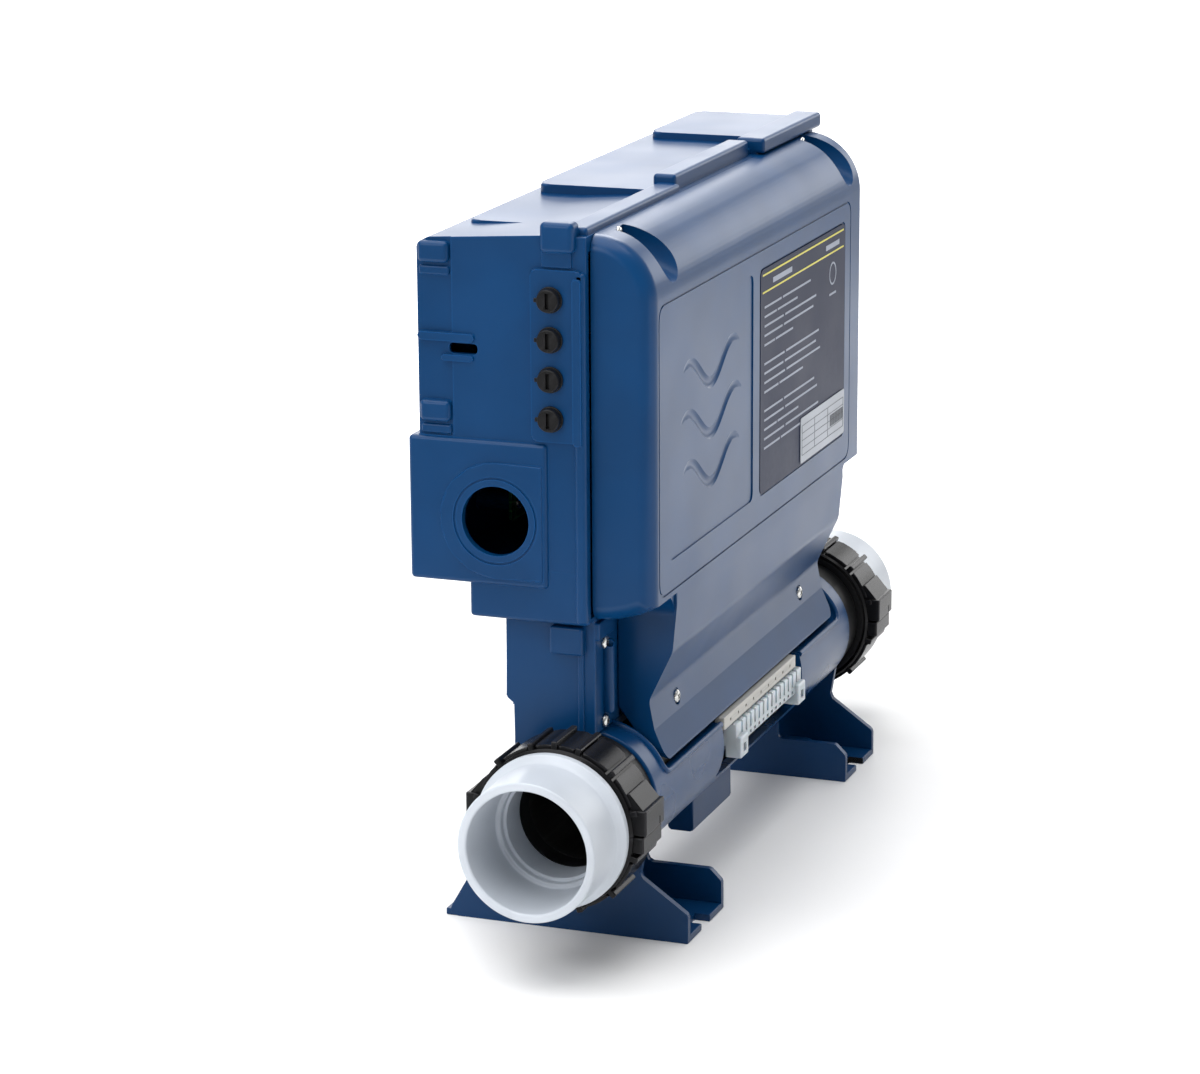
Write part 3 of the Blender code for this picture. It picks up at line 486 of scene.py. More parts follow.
def rod(start, end, radius, sides=32, end_radius=None, rim=0.0):
    start, end = Vector(start), Vector(end)
    run = end - start
    bm = bmesh.new()
    place = Matrix.Translation((start + end) / 2) @ run.to_track_quat("Z", "Y").to_matrix().to_4x4()
    far_radius = radius if end_radius is None else end_radius
    bmesh.ops.create_cone(bm, cap_ends=True, segments=sides, radius1=radius, radius2=far_radius,
                          depth=run.length, matrix=place)
    if rim:
        caps = [face for face in bm.faces if len(face.verts) > 4]
        bevel(bm, list({edge for face in caps for edge in face.edges}), rim)
    return from_bmesh(bm)


def turned(profile, origin, sides=96, axis="X", from_angle=0.0, to_angle=tau):
    """A closed (u, radius) profile turned about an axis through origin."""
    bm = bmesh.new()
    whole = to_angle - from_angle >= tau - 1e-6
    count = sides if whole else sides + 1
    rings = []
    for k in range(count):
        angle = from_angle + (to_angle - from_angle) * k / sides
        ring = []
        for u, r in profile:
            across, up = r * cos(angle), r * sin(angle)
            place = (u, across, up) if axis == "X" else (across, u, up)
            ring.append(bm.verts.new(Vector(place) + Vector(origin)))
        rings.append(ring)
    size = len(profile)
    for k in range(sides):
        one, other = rings[k], rings[(k + 1) % count]
        for i in range(size):
            j = (i + 1) % size
            bm.faces.new((one[i], one[j], other[j], other[i]))
    if not whole:
        bm.faces.new(rings[0])
        bm.faces.new(rings[-1])
    bmesh.ops.remove_doubles(bm, verts=bm.verts, dist=1e-6)
    return from_bmesh(bm)


def tube(points, radius, sides=10):
    """A round bar along a path of points."""
    points = [Vector(point) for point in points]
    bm = bmesh.new()
    rings = []
    side_way = None
    for i, point in enumerate(points):
        ahead = points[min(i + 1, len(points) - 1)] - points[max(i - 1, 0)]
        ahead.normalize()
        if side_way is None:
            side_way = ahead.orthogonal().normalized()
        side_way = (side_way - ahead * side_way.dot(ahead)).normalized()
        other_way = ahead.cross(side_way)
        rings.append([bm.verts.new(point + side_way * radius * cos(tau * k / sides)
                                   + other_way * radius * sin(tau * k / sides)) for k in range(sides)])
    for one, other in zip(rings, rings[1:]):
        for k in range(sides):
            j = (k + 1) % sides
            bm.faces.new((one[k], one[j], other[j], other[k]))
    bm.faces.new(rings[0][::-1])
    bm.faces.new(rings[-1])
    return from_bmesh(bm)


def lofted(rings):
    """A skin along X through (x, outline) rings, capped at both ends."""
    bm = bmesh.new()
    loops = [[bm.verts.new((x, y, z)) for y, z in outline] for x, outline in rings]
    for one, other in zip(loops, loops[1:]):
        for i in range(len(one)):
            j = (i + 1) % len(one)
            bm.faces.new((one[i], one[j], other[j], other[i]))
    bm.faces.new(loops[0])
    bm.faces.new(loops[-1])
    return from_bmesh(bm)


def combine(item, tool, operation):
    step = item.modifiers.new(operation, "BOOLEAN")
    step.operation = operation
    step.solver = "EXACT"
    step.object = tool
    return item


def join(item, tool):
    return combine(item, tool, "UNION")


def cut(item, tool):
    return combine(item, tool, "DIFFERENCE")


def settle(item):
    """Applies the stacked booleans and deletes their tools."""
    tools = [step.object for step in item.modifiers if step.type == "BOOLEAN"]
    if tools:
        graph = bpy.context.evaluated_depsgraph_get()
        mesh = bpy.data.meshes.new_from_object(item.evaluated_get(graph))
        item.modifiers.clear()
        item.data = mesh
        for tool in tools:
            bpy.data.objects.remove(tool, do_unlink=True)
    bm = bmesh.new()
    bm.from_mesh(item.data)
    bmesh.ops.remove_doubles(bm, verts=bm.verts, dist=2e-6)
    bmesh.ops.dissolve_degenerate(bm, edges=bm.edges, dist=2e-6)
    bm.to_mesh(item.data)
    bm.free()
    return item


def merged(items):
    """Puts separate closed shapes into one mesh."""
    bm = bmesh.new()
    for item in items:
        settle(item)
        bm.from_mesh(item.data)
        bpy.data.objects.remove(item, do_unlink=True)
    mesh = bpy.data.meshes.new("merged")
    bm.to_mesh(mesh)
    bm.free()
    made = bpy.data.objects.new("merged", mesh)
    bpy.context.scene.collection.objects.link(made)
    return made


def deliver(item, name, material, body, slot, *nodes, sharp=35.0):
    """Names a finished piece, smooths it and hangs it on its body in place of CAD nodes."""
    settle(item)
    item.name = name
    item.data.name = name
    item.data.materials.clear()
    item.data.materials.append(MATERIALS[material])
    item.data.shade_smooth()
    item.data.set_sharp_from_angle(angle=radians(sharp))
    weighted = item.modifiers.new("weighted", "WEIGHTED_NORMAL")
    weighted.keep_sharp = True
    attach(item, body)
    if nodes:
        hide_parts(*nodes)
    return item


# ---------------------------------------------------------------- rear housing
def top_plateau(start_u, inset, top):
    low_x, high_x = start_u - HALF_LENGTH, TRAY_HALF - 0.004
    front_y, back_y = PARTING_Y + 0.004, TUBE_Y + inset
    corners = [(low_x, front_y), (high_x, front_y), (high_x, back_y), (low_x, back_y)]
    outline = fillet(corners, (0.004, 0.002, 0.003, 0.007), 6)
    return prism("Z", outline, TRAY_TOP_Z - 0.010, TUBE_Z + top, 0.0014)


def end_box(side, inner, outer, span_y, span_z, radius=0.0, steps=3):
    """A box at one end; inner and outer are distances from the middle of the pack."""
    low_x, high_x = sorted((side * inner, side * outer))
    return rounded_box((low_x, span_y[0], span_z[0]), (high_x, span_y[1], span_z[1]), radius, steps)


def end_slab(side, inner, outer, span_y, span_z, corner, rim=0.0):
    """A plate with rounded corners at one end, placed like an end box."""
    low_x, high_x = sorted((side * inner, side * outer))
    return prism("X", slab_outline(*span_y, *span_z, corner), low_x, high_x, rim)


def end_face_details(body, side):
    """What stands out of, or is sunk into, one end face of the tray and the neck."""
    face, back = TRAY_HALF, TRAY_BACK_Y
    join(body, end_box(side, face - 0.003, face + 0.0020, (PARTING_Y, PARTING_Y + 0.0060),
                       (STEP_BOX_Z + 0.001, 0.3330), 0.0019, 5))
    cut(body, end_slab(side, face - 0.0011, face + 0.004, (back - 0.0180, back + 0.004),
                       (0.2500, 0.3480), 0.0015))
    for rib_z in (0.3388, 0.2620):
        join(body, end_box(side, face - 0.004, face + 0.0022, (back - 0.0170, back - 0.0012),
                           (rib_z - 0.0052, rib_z + 0.0052), 0.0024, 5))
        join(body, end_box(side, face - 0.004, face + 0.0004, (back - 0.0170, back - 0.0014),
                           (rib_z - 0.0112, rib_z - 0.0066), 0.0012, 4))
    join(body, end_slab(side, face - 0.003, face + 0.0012, (0.0330, back - 0.0005), (0.2962, 0.3002),
                        0.0019, 0.0006))
    join(body, end_slab(side, face - 0.003, face + 0.0012, (0.0335, 0.0500), (0.2868, 0.2898),
                        0.0014, 0.0006))
    cut(body, end_slab(side, face - 0.0060, face + 0.006, (0.0315, 0.0465), (0.2903, 0.2955), 0.0025))
    for span_z, reach, low_y, radius in (((0.3418, 0.3566), 0.0044, -0.0185, 0.0028),
                                         ((0.3345, 0.3430), 0.0014, -0.0165, 0.001)):
        join(body, end_box(side, face - 0.006, face + reach, (low_y, -0.0015), span_z, radius, 5))

    neck = NECK_HALF
    join(body, end_box(side, neck - 0.005, neck + 0.0045, (-0.0185, -0.0015), (0.1450, 0.1590), 0.0015))
    join(body, end_box(side, neck - 0.003, neck + 0.0012, (-0.0180, -0.0150), (0.0900, 0.1460), 0.0006))
    join(body, end_box(side, neck - 0.0172, neck - 0.0112, (PARTING_Y - 0.0046, PARTING_Y + 0.0012),
                       (0.1120, 0.1500), 0.0024, 5))
    join(body, end_box(side, neck - 0.0215, neck - 0.0002, (PARTING_Y - 0.0022, PARTING_Y + 0.0012),
                       (0.1520, 0.1610), 0.0009))


def cable_side(body, side):
    """Raised pad and ring around the cable opening."""
    face = TRAY_HALF + PAD_RISE
    low_x, high_x = sorted((side * (face - 0.003), side * (face + 0.0008)))
    pad = [(-0.0012, CABLE_BOX_Z[0] + 0.0035)] + arc((CABLE_Y, CABLE_Z), 0.0285, -90, 90, 18) \
        + [(-0.0012, CABLE_Z + 0.0285)]
    pad = [(y, min(max(z, CABLE_BOX_Z[0] + 0.0035), CABLE_BOX_Z[1] - 0.0035)) for y, z in pad]
    join(body, prism("X", pad, low_x, high_x, 0.0007))
    ring = [(side * (face + 0.0001), CABLE_R * 1.19), (side * (face + 0.003), CABLE_R * 1.19),
            (side * (face + 0.003), CABLE_R * 1.26), (side * (face + 0.0001), CABLE_R * 1.26)]
    cut(body, turned(ring, (0, CABLE_Y, CABLE_Z), 64))


def housing_outside():
    left, right = -TRAY_HALF, TRAY_HALF
    main = fillet([(PARTING_Y, CABLE_BOX_Z[0]), (TRAY_BACK_Y, CABLE_BOX_Z[0]),
                   (TRAY_BACK_Y, TRAY_TOP_Z - 0.003), (TRAY_BACK_Y - 0.006, TRAY_TOP_Z),
                   (RIDGE_BACK_Y, COVER_TOP_Z), (PARTING_Y, COVER_TOP_Z)],
                  (0, 0.002, 0.0035, 0.0035, 0, 0), 6)
    body = prism("X", main, left, right, 0.0022)
    join(body, rounded_box((left - PAD_RISE, PARTING_Y + 0.020, CABLE_BOX_Z[0]),
                           (right + PAD_RISE, BACK_Y, CABLE_BOX_Z[1]), 0.0022, 4))
    join(body, rounded_box((left - 0.0002, PARTING_Y + 0.0002, STEP_BOX_Z),
                           (right + 0.0002, STEP_BOX_Y, CABLE_BOX_Z[0] + 0.010), 0.0020, 4))
    join(body, rounded_box((left + 0.001, PARTING_Y, STEP_BOX_Z + 0.0010),
                           (right - 0.001, PARTING_Y + 0.006, 0.1900)))
    neck = fillet([(PARTING_Y, NECK_BOTTOM_Z), (NECK_LOW_Y, NECK_BOTTOM_Z),
                   (NECK_LOW_Y, NECK_SHELF_Z - 0.003), (NECK_Y, NECK_SHELF_Z),
                   (NECK_Y, STEP_BOX_Z + 0.010), (PARTING_Y, STEP_BOX_Z + 0.010)],
                  (0, 0.001, 0.001, 0.001, 0, 0), 3)
    join(body, prism("X", neck, -NECK_HALF, NECK_HALF, 0.0016))
    for step in TOP_STEPS:
        join(body, top_plateau(*step))
    for low_x, high_x, low_y, high_y, top in RIDGES:
        root_y = max(low_y, PARTING_Y + 0.0004)
        join(body, rounded_box((low_x, root_y, COVER_TOP_Z - 0.012), (high_x, high_y, top), 0.0020, 4))
        if low_y < root_y:
            join(body, rounded_box((low_x, low_y, COVER_TOP_Z + 0.0005),
                                   (high_x, high_y - 0.0002, top - 0.0001), 0.0020, 4))
    join(body, prism("X", slab_outline(-0.0215, 0.0040, 0.2510, 0.3338, 0.0030), left - PAD_RISE,
                     left + 0.002, 0.0008))
    join(body, prism("X", slab_outline(-0.0216, -0.0172, 0.2500, 0.3300, 0.0015), left - PAD_RISE - 0.0009,
                     left + 0.002, 0.0006))
    for side in (-1, 1):
        end_face_details(body, side)
        cable_side(body, side)
    return body


def hollow_housing(body):
    left, right = -TRAY_HALF, TRAY_HALF
    cut(body, prism("X", [
        (PARTING_Y - 0.010, CABLE_BOX_Z[0] + WALL), (TRAY_BACK_Y - WALL, CABLE_BOX_Z[0] + WALL),
        (TRAY_BACK_Y - WALL, TRAY_TOP_Z - 0.003 - WALL), (TRAY_BACK_Y - WALL - 0.004, TRAY_TOP_Z - WALL),
        (PARTING_Y - 0.010, TRAY_TOP_Z - WALL)], left + WALL, right - WALL))
    cut(body, rounded_box((left + WALL - PAD_RISE, PARTING_Y + 0.026, CABLE_BOX_Z[0] + WALL),
                          (right - WALL + PAD_RISE, BACK_Y - WALL, CABLE_BOX_Z[1] - WALL)))
    cut(body, rounded_box((left + WALL, PARTING_Y - 0.010, STEP_BOX_Z + WALL),
                          (right - WALL, STEP_BOX_Y - WALL, CABLE_BOX_Z[0] + 0.015)))
    hollow = [(PARTING_Y + WALL, NECK_BOTTOM_Z - 0.010), (NECK_LOW_Y - 0.0022, NECK_BOTTOM_Z - 0.010),
              (NECK_LOW_Y - 0.0022, NECK_SHELF_Z), (NECK_Y - WALL, NECK_SHELF_Z + 0.003),
              (NECK_Y - WALL, STEP_BOX_Z + 0.020), (PARTING_Y + WALL, STEP_BOX_Z + 0.020)]
    cut(body, prism("X", hollow, -NECK_HALF + WALL, NECK_HALF - WALL))
    cut(body, rounded_box((-SKIRT_HALF + WALL, PARTING_Y - 0.010, NECK_BOTTOM_Z - 0.010),
                          (SKIRT_HALF - WALL, PARTING_Y + 0.010, STEP_BOX_Z + 0.020)))
    cut(body, rod((-HALF_LENGTH, TUBE_Y, TUBE_Z), (HALF_LENGTH, TUBE_Y, TUBE_Z), JACKET_R + 2 * GAP, 96))


def housing_holes(body):
    left = -TRAY_HALF
    cut(body, rod((left - 0.010, CABLE_Y, CABLE_Z), (left + 0.010, CABLE_Y, CABLE_Z), CABLE_R, 64))
    for z in FUSE_Z:
        cut(body, rod((left - 0.010, FUSE_Y, z), (left + 0.006, FUSE_Y, z), HOLDER_R + GAP, 32))
    for x in TOP_SCREW_X:
        join(body, rounded_box((x - 0.006, PARTING_Y + 0.0002, TOP_SCREW_Z - 0.010),
                               (x + 0.006, PARTING_Y + 0.014, COVER_TOP_Z - 0.0015)))
        cut(body, rod((x, PARTING_Y - 0.010, TOP_SCREW_Z), (x, PARTING_Y + 0.012, TOP_SCREW_Z), HOLE_R, 20))
    for x in NECK_SCREW_X:
        for z in NECK_SCREW_Z:
            cut(body, rod((x, PARTING_Y - 0.010, z), (x, PARTING_Y + 0.010, z), HOLE_R, 20))


def board_posts(body):
    board_low, board_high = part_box("circuit_board")
    for x in (board_low.x + 0.008, board_high.x - 0.008):
        for z in (board_low.z + 0.008, board_high.z - 0.008):
            back = BACK_Y if z < CABLE_BOX_Z[1] else TRAY_BACK_Y
            join(body, rod((x, back - WALL + 0.0005, z), (x, board_high.y + GAP, z), 0.0045, 24))
            cut(body, rod((x, board_low.y, z), (x, TRAY_BACK_Y - WALL - 0.002, z), 0.0019, 16))


def rear_housing():
    body = housing_outside()
    hollow_housing(body)
    housing_holes(body)
    board_posts(body)
    deliver(body, "housing_shell", "housing", "root", "blue_plastic", "rear_housing")


# ---------------------------------------------------------------- front cover
def cover_outline(inset, back):
    front = COVER_FRONT_Y + inset
    top = COVER_TOP_Z - inset
    radius = SHOULDER_R - inset
    shoulder = arc((front + radius, top - radius), radius, 90, 180, 20)
    floor_r = COVER_FLOOR_R - inset
    steepest = degrees(acos((front - COVER_FLOOR_Y) / floor_r))
    floor = arc((COVER_FLOOR_Y, COVER_BOTTOM_Z + COVER_FLOOR_R), floor_r, -steepest, -90, 8)
    return [(back, top)] + shoulder[1:] + floor + [(back, COVER_BOTTOM_Z + inset)]


def cover_block(inset, back, steps=7):
    radius = COVER_END_R - inset
    rings = []
    for i in range(steps + 1):
        angle = pi / 2 * i / steps
        rings.append((COVER_HALF - inset - radius * (1 - cos(angle)),
                      cover_outline(inset + radius * (1 - sin(angle)), back)))
    return lofted([(-x, outline) for x, outline in rings] + rings[::-1])


def skirt_block():
    back = PARTING_Y - GAP
    outline = [(back, SKIRT_TOP_Z), (COVER_FRONT_Y, SKIRT_TOP_Z), (COVER_FRONT_Y, SKIRT_BEND_Z),
               (SKIRT_SLOPE_Y, SKIRT_SLOPE_Z), (FOLD_Y, FOLD_Z), (CREASE_Y, CREASE_Z), (SKIRT_Y, SKIRT_Z),
               (SKIRT_BACK_Y, SKIRT_Z), (back, FOLD_Z - 0.004)]
    return prism("X", fillet(outline, (0, 0, 0.02, 0.012, 0.008, 0.0025, 0.0012, 0, 0), 6),
                 -SKIRT_HALF, SKIRT_HALF, 0.0026, 4)


def skirt_hollow():
    back = PARTING_Y + 0.010
    w = COVER_WALL
    outline = [(back, 0.1825), (COVER_FRONT_Y + w, 0.1825), (COVER_FRONT_Y + w, SKIRT_BEND_Z),
               (SKIRT_SLOPE_Y + w, SKIRT_SLOPE_Z), (FOLD_Y + w, FOLD_Z), (CREASE_Y + w, CREASE_Z),
               (SKIRT_Y + w, SKIRT_Z), (SKIRT_Y + w - 0.003, SKIRT_Z - 0.010), (back, SKIRT_Z - 0.010)]
    return prism("X", outline, -SKIRT_HALF + w, SKIRT_HALF - w)


def gusset(side):
    inner, outer = SKIRT_HALF - 0.002, SKIRT_HALF + GUSSET_R
    high = COVER_BOTTOM_Z + 0.010
    curve = arc((outer, high - GUSSET_R), GUSSET_R, 90, 180, 12)
    outline = [(inner, high + 0.002), (outer, high + 0.002)] + curve + [(inner, high - GUSSET_R)]
    return prism("Y", [(side * x, z) for x, z in outline], -0.0300, COVER_FRONT_Y + 0.0012)


def groove(low_x, high_x, low_z, high_z, radius, width, depth):
    """A thin frame-shaped cutter on the cover's front."""
    deep_y = COVER_FRONT_Y + depth
    outside = slab_outline(low_x, high_x, low_z, high_z, radius, 8)
    inside = slab_outline(low_x + width, high_x - width, low_z + width, high_z - width, radius - width, 8)
    whole = prism("Y", outside, deep_y, COVER_FRONT_Y - 0.004)
    return settle(cut(whole, prism("Y", inside, deep_y + 0.002, COVER_FRONT_Y - 0.006)))


def wave_cutter(level, length, rise):
    """One ripple of the generic water motif: a round groove that fades out at both ends."""
    middle = (EMBLEM_RECESS[0] + EMBLEM_RECESS[1]) / 2
    steps = 40
    radius = 0.0046
    path = []
    for i in range(steps + 1):
        t = i / steps
        lift = 0.0030 + 0.0018 * abs(2 * t - 1) ** 4
        path.append((middle + (t - 0.5) * length, COVER_FRONT_Y - lift, level + rise * sin(tau * 1.5 * t)))
    return tube(path, radius, 28)


def skirt_corner(side):
    """What is cut away to round the lower corner of the skirt."""
    radius, past = 0.0075, 0.001
    inner, outer = SKIRT_HALF - radius, SKIRT_HALF + past
    high_z, low_z = SKIRT_Z + radius, SKIRT_Z - past
    outline = arc((inner, high_z), radius, 270, 360, 10) + [(outer, high_z), (outer, low_z), (inner, low_z)]
    return prism("Y", [(side * x, z) for x, z in outline], SKIRT_Y - 0.030, TUBE_Y - 0.012)


def front_cover():
    shell = cover_block(0, PARTING_Y - GAP)
    join(shell, skirt_block())
    for side in (-1, 1):
        join(shell, gusset(side))
    hollow = cover_block(COVER_WALL, PARTING_Y + 0.010, 4)
    for x in TOP_SCREW_X:
        cut(hollow, rounded_box((x - 0.016, -0.060, 0.3240), (x + 0.016, PARTING_Y + 0.020, 0.3600)))
    cut(shell, settle(hollow))
    cut(shell, skirt_hollow())
    for side in (-1, 1):
        cut(shell, skirt_corner(side))
    for x in TOP_SCREW_X:
        seat = PARTING_Y - 0.0035
        low_end = (x + 0.004, COVER_FRONT_Y - 0.004, COVER_TOP_Z - 0.0150)
        cut(shell, rod((x, seat, TOP_SCREW_Z + 0.001), low_end, 0.0078, 64, 0.0118))
        cut(shell, rod((x, seat - 0.012, TOP_SCREW_Z), (x, seat, TOP_SCREW_Z), HEAD_R + 0.0006, 32))
        cut(shell, rod((x, seat - 0.010, TOP_SCREW_Z), (x, PARTING_Y + 0.005, TOP_SCREW_Z), HOLE_R, 20))
    for x in SKIRT_SCREW_X:
        outside = (x, SKIRT_Y - 0.010, SKIRT_SCREW_Z)
        cut(shell, rod(outside, (x, SKIRT_SEAT_Y, SKIRT_SCREW_Z), HEAD_R + 0.0008, 32))
        cut(shell, rod(outside, (x, PARTING_Y, SKIRT_SCREW_Z), HOLE_R, 20))
    for recess in (EMBLEM_RECESS, LABEL_RECESS):
        cut(shell, prism("Y", slab_outline(*recess, 0.005, 6), COVER_FRONT_Y + 0.0006, COVER_FRONT_Y - 0.004))
    cut(shell, groove(-0.1640, 0.1490, 0.1735, 0.3165, 0.009, 0.0011, 0.0006))
    for level, length, rise in ((0.2720, 0.100, 0.0080), (0.2470, 0.108, 0.0084), (0.2220, 0.100, 0.0080)):
        cut(shell, wave_cutter(level, length, rise))
    deliver(shell, "cover_shell", "cover", "cover", "blue_plastic", "front_cover")


def cover_gasket():
    low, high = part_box("cover_gasket")
    outer = prism("Y", slab_outline(low.x, high.x, low.z, high.z, 0.005), low.y, high.y, 0.0007)
    width = 0.0030
    inner = prism("Y", slab_outline(low.x + width, high.x - width, low.z + width, high.z - width, 0.003),
                  low.y - 0.01, high.y + 0.01)
    cut(outer, inner)
    deliver(outer, "cover_seal", "rubber", "cover", "seal_rubber", "cover_gasket")


def bar(low_x, high_x, low_z, high_z, surface_y, rise=0.00012):
    """A flat printed mark that stands a hair proud of a surface that faces -Y."""
    return rounded_box((low_x, surface_y - rise, low_z), (high_x, surface_y + 0.00005, high_z))


def label():
    low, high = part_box("label_plate")
    plate = prism("Y", slab_outline(low.x, high.x, low.z, high.z, 0.004, 6), low.y, high.y, 0.0001)
    plate = deliver(plate, "label_film_sheet", "film", "cover", "label_film", "label_plate")
    lines = [bar(low.x + 0.003, high.x - 0.003, z, z + 0.0009, low.y)
             for z in (high.z - 0.0035, high.z - 0.0125)]
    deliver(merged(lines), "label_yellow_lines", "yellow_ink", "cover", "label_film")
    rows = []
    widths = (0.62, 0.44, 0.70, 0.66, 0.38, 0.0, 0.74, 0.70, 0.76, 0.52, 0.0, 0.68, 0.72, 0.46, 0.74, 0.58)
    full = (high.x - low.x) * 0.86
    for i, share in enumerate(widths):
        z = high.z - 0.0205 - i * 0.0049
        if share:
            reach = full * share
            rows.append(bar(low.x + 0.006, low.x + 0.006 + reach * 0.36, z, z + 0.0011, low.y))
            rows.append(bar(low.x + 0.006 + reach * 0.39, low.x + 0.006 + reach, z, z + 0.0011, low.y))
    rows.append(bar(low.x + 0.020, low.x + 0.052, high.z - 0.0095, high.z - 0.0068, low.y))
    rows.append(bar(low.x + 0.112, low.x + 0.136, high.z - 0.0095, high.z - 0.0068, low.y))
    ring = turned([(-0.00012, 0.0062), (0.00005, 0.0062), (0.00005, 0.0052), (-0.00012, 0.0052)],
                  (high.x - 0.0225, low.y, high.z - 0.0235), 48, "Y")
    rows.append(ring)
    rows.append(bar(high.x - 0.0285, high.x - 0.0165, high.z - 0.0350, high.z - 0.0338, low.y))
    deliver(merged(rows), "label_print", "ink", "cover", "label_film")

    low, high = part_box("data_sticker")
    sheet = prism("Y", slab_outline(low.x, high.x, low.z, high.z, 0.0015), low.y, high.y)
    deliver(sheet, "sticker_sheet", "paper", "cover", "sticker_paper", "data_sticker")
    rules = [bar(low.x + 0.002, high.x - 0.002, z, z + 0.0003, low.y)
             for z in (low.z + 0.004, low.z + 0.008, low.z + 0.012, low.z + 0.016, low.z + 0.020)]
    for share in (0.0, 0.30, 0.62, 1.0):
        x = low.x + 0.002 + share * (high.x - low.x - 0.0043)
        rules.append(bar(x, x + 0.0003, low.z + 0.004, low.z + 0.0203, low.y))
    for i in range(26):
        x = low.x + 0.0522 + i * 0.00095
        rules.append(bar(x, x + (0.00035, 0.0006, 0.00025)[i % 3], low.z + 0.0088, low.z + 0.0150, low.y))
    deliver(merged(rules), "sticker_rules", "rule", "cover", "sticker_paper")


# ---------------------------------------------------------------- screws and fuses
def screw(node, body):
    """A pan head with a cross recess over a threaded shank, along +Y."""
    low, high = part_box(node)
    x, z = (low.x + high.x) / 2, (low.z + high.z) / 2
    head = 0.0018
    r = min((high.x - low.x), (high.z - low.z)) / 2
    dome = [(0.0, 0.0), (0.0, r * 0.55), (0.00025, r * 0.80), (0.0007, r * 0.96), (0.0012, r), (head, r),
            (head, 0.0017)]
    thread = []
    length = high.y - low.y
    u = head + 0.0008
    while u < length - 0.0014:
        thread += [(u, 0.0014), (u + 0.0004, 0.0018)]
        u += 0.0008
    dome += thread + [(length - 0.0006, 0.0012), (length, 0.0004), (length, 0.0)]
    made = turned(dome, (x, low.y, z), 32, "Y")
    for angle in (pi / 4, -pi / 4):
        blade = rounded_box((-r * 0.55, -0.001, -0.00042), (r * 0.55, 0.0011, 0.00042))
        blade.data.transform(Matrix.Translation((x, low.y, z)) @ Matrix.Rotation(angle, 4, "Y"))
        cut(made, blade)
    deliver(made, node + "_detail", "steel", body, "steel", node, sharp=40)


def screws():
    for tag in ("left", "right"):
        screw("top_screw_" + tag, "cover")
        screw("skirt_screw_" + tag, "cover")
        for level in ("low", "high"):
            screw(f"neck_screw_{tag}_{level}", "root")
    for i in range(4):
        screw(f"board_screw_{i + 1}", "root")


def fuse_set(index):
    """Holder, fuse link and bayonet cap, counted from the top."""
    tag = str(index + 1)
    z = FUSE_Z[index]
    low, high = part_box("fuse_holder_" + tag)
    flange = 0.0012
    length = high.x - low.x
    barrel = fillet([(0, 0.0042), (0, 0.0063), (flange, 0.0063), (flange, HOLDER_R), (length, HOLDER_R),
                     (length, 0.0015), (length - 0.004, 0.0015), (length - 0.004, 0.0042)],
                    (0.0002, 0.0004, 0, 0, 0.0004, 0, 0, 0), 3)
    holder = turned(barrel, (low.x, FUSE_Y, z), 48)
    for angle in (0, 180):
        tab = rounded_box((high.x - 0.006, -0.0008, 0.0030), (high.x + 0.0004, 0.0008, 0.0052), 0.0002)
        tab.data.transform(Matrix.Translation((0, FUSE_Y, z)) @ Matrix.Rotation(radians(angle), 4, "X"))
        join(holder, tab)
    deliver(holder, "fuse_holder_" + tag + "_detail", "dull_black", "root", "black_plastic",
            "fuse_holder_" + tag)

    low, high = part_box("fuse_cap_" + tag)
    back = low.x + 0.0030
    head = fillet([(back, 0.0), (back, 0.0058), (low.x, 0.0054), (low.x, 0.0)], (0, 0.0003, 0.0007, 0), 4)
    cap = turned(head, (0, FUSE_Y, z), 64)
    for i in range(20):
        angle = tau * i / 20
        flute = rod((low.x - 0.001, FUSE_Y + 0.0060 * cos(angle), z + 0.0060 * sin(angle)),
                    (back - 0.0004, FUSE_Y + 0.0062 * cos(angle), z + 0.0062 * sin(angle)), 0.00042, 8)
        cut(cap, flute)
    join(cap, rod((back - 0.001, FUSE_Y, z), (high.x, FUSE_Y, z), 0.0037, 32))
    join(cap, rounded_box((back - 0.0016, FUSE_Y + 0.0048, z - 0.0010),
                          (back, FUSE_Y + 0.0072, z + 0.0010), 0.0003))
    cut(cap, rounded_box((low.x - 0.003, FUSE_Y - 0.0009, z - 0.0038),
                         (low.x + 0.0015, FUSE_Y + 0.0009, z + 0.0038)))
    deliver(cap, "fuse_cap_" + tag + "_detail", "dull_black", f"fuse_cap_{tag}_body", "black_plastic",
            "fuse_cap_" + tag)

    low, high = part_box("fuse_" + tag)
    r = (high.z - low.z) / 2
    link = fillet([(low.x, 0), (low.x, r), (low.x + 0.006, r), (low.x + 0.0062, r * 0.93),
                   (high.x - 0.0062, r * 0.93), (high.x - 0.006, r), (high.x, r), (high.x, 0)],
                  (0, 0.0003, 0, 0, 0, 0, 0.0003, 0), 3)
    deliver(turned(link, (0, FUSE_Y, z), 32), "fuse_" + tag + "_detail", "ceramic", "root", "fuse_ceramic",
            "fuse_" + tag)


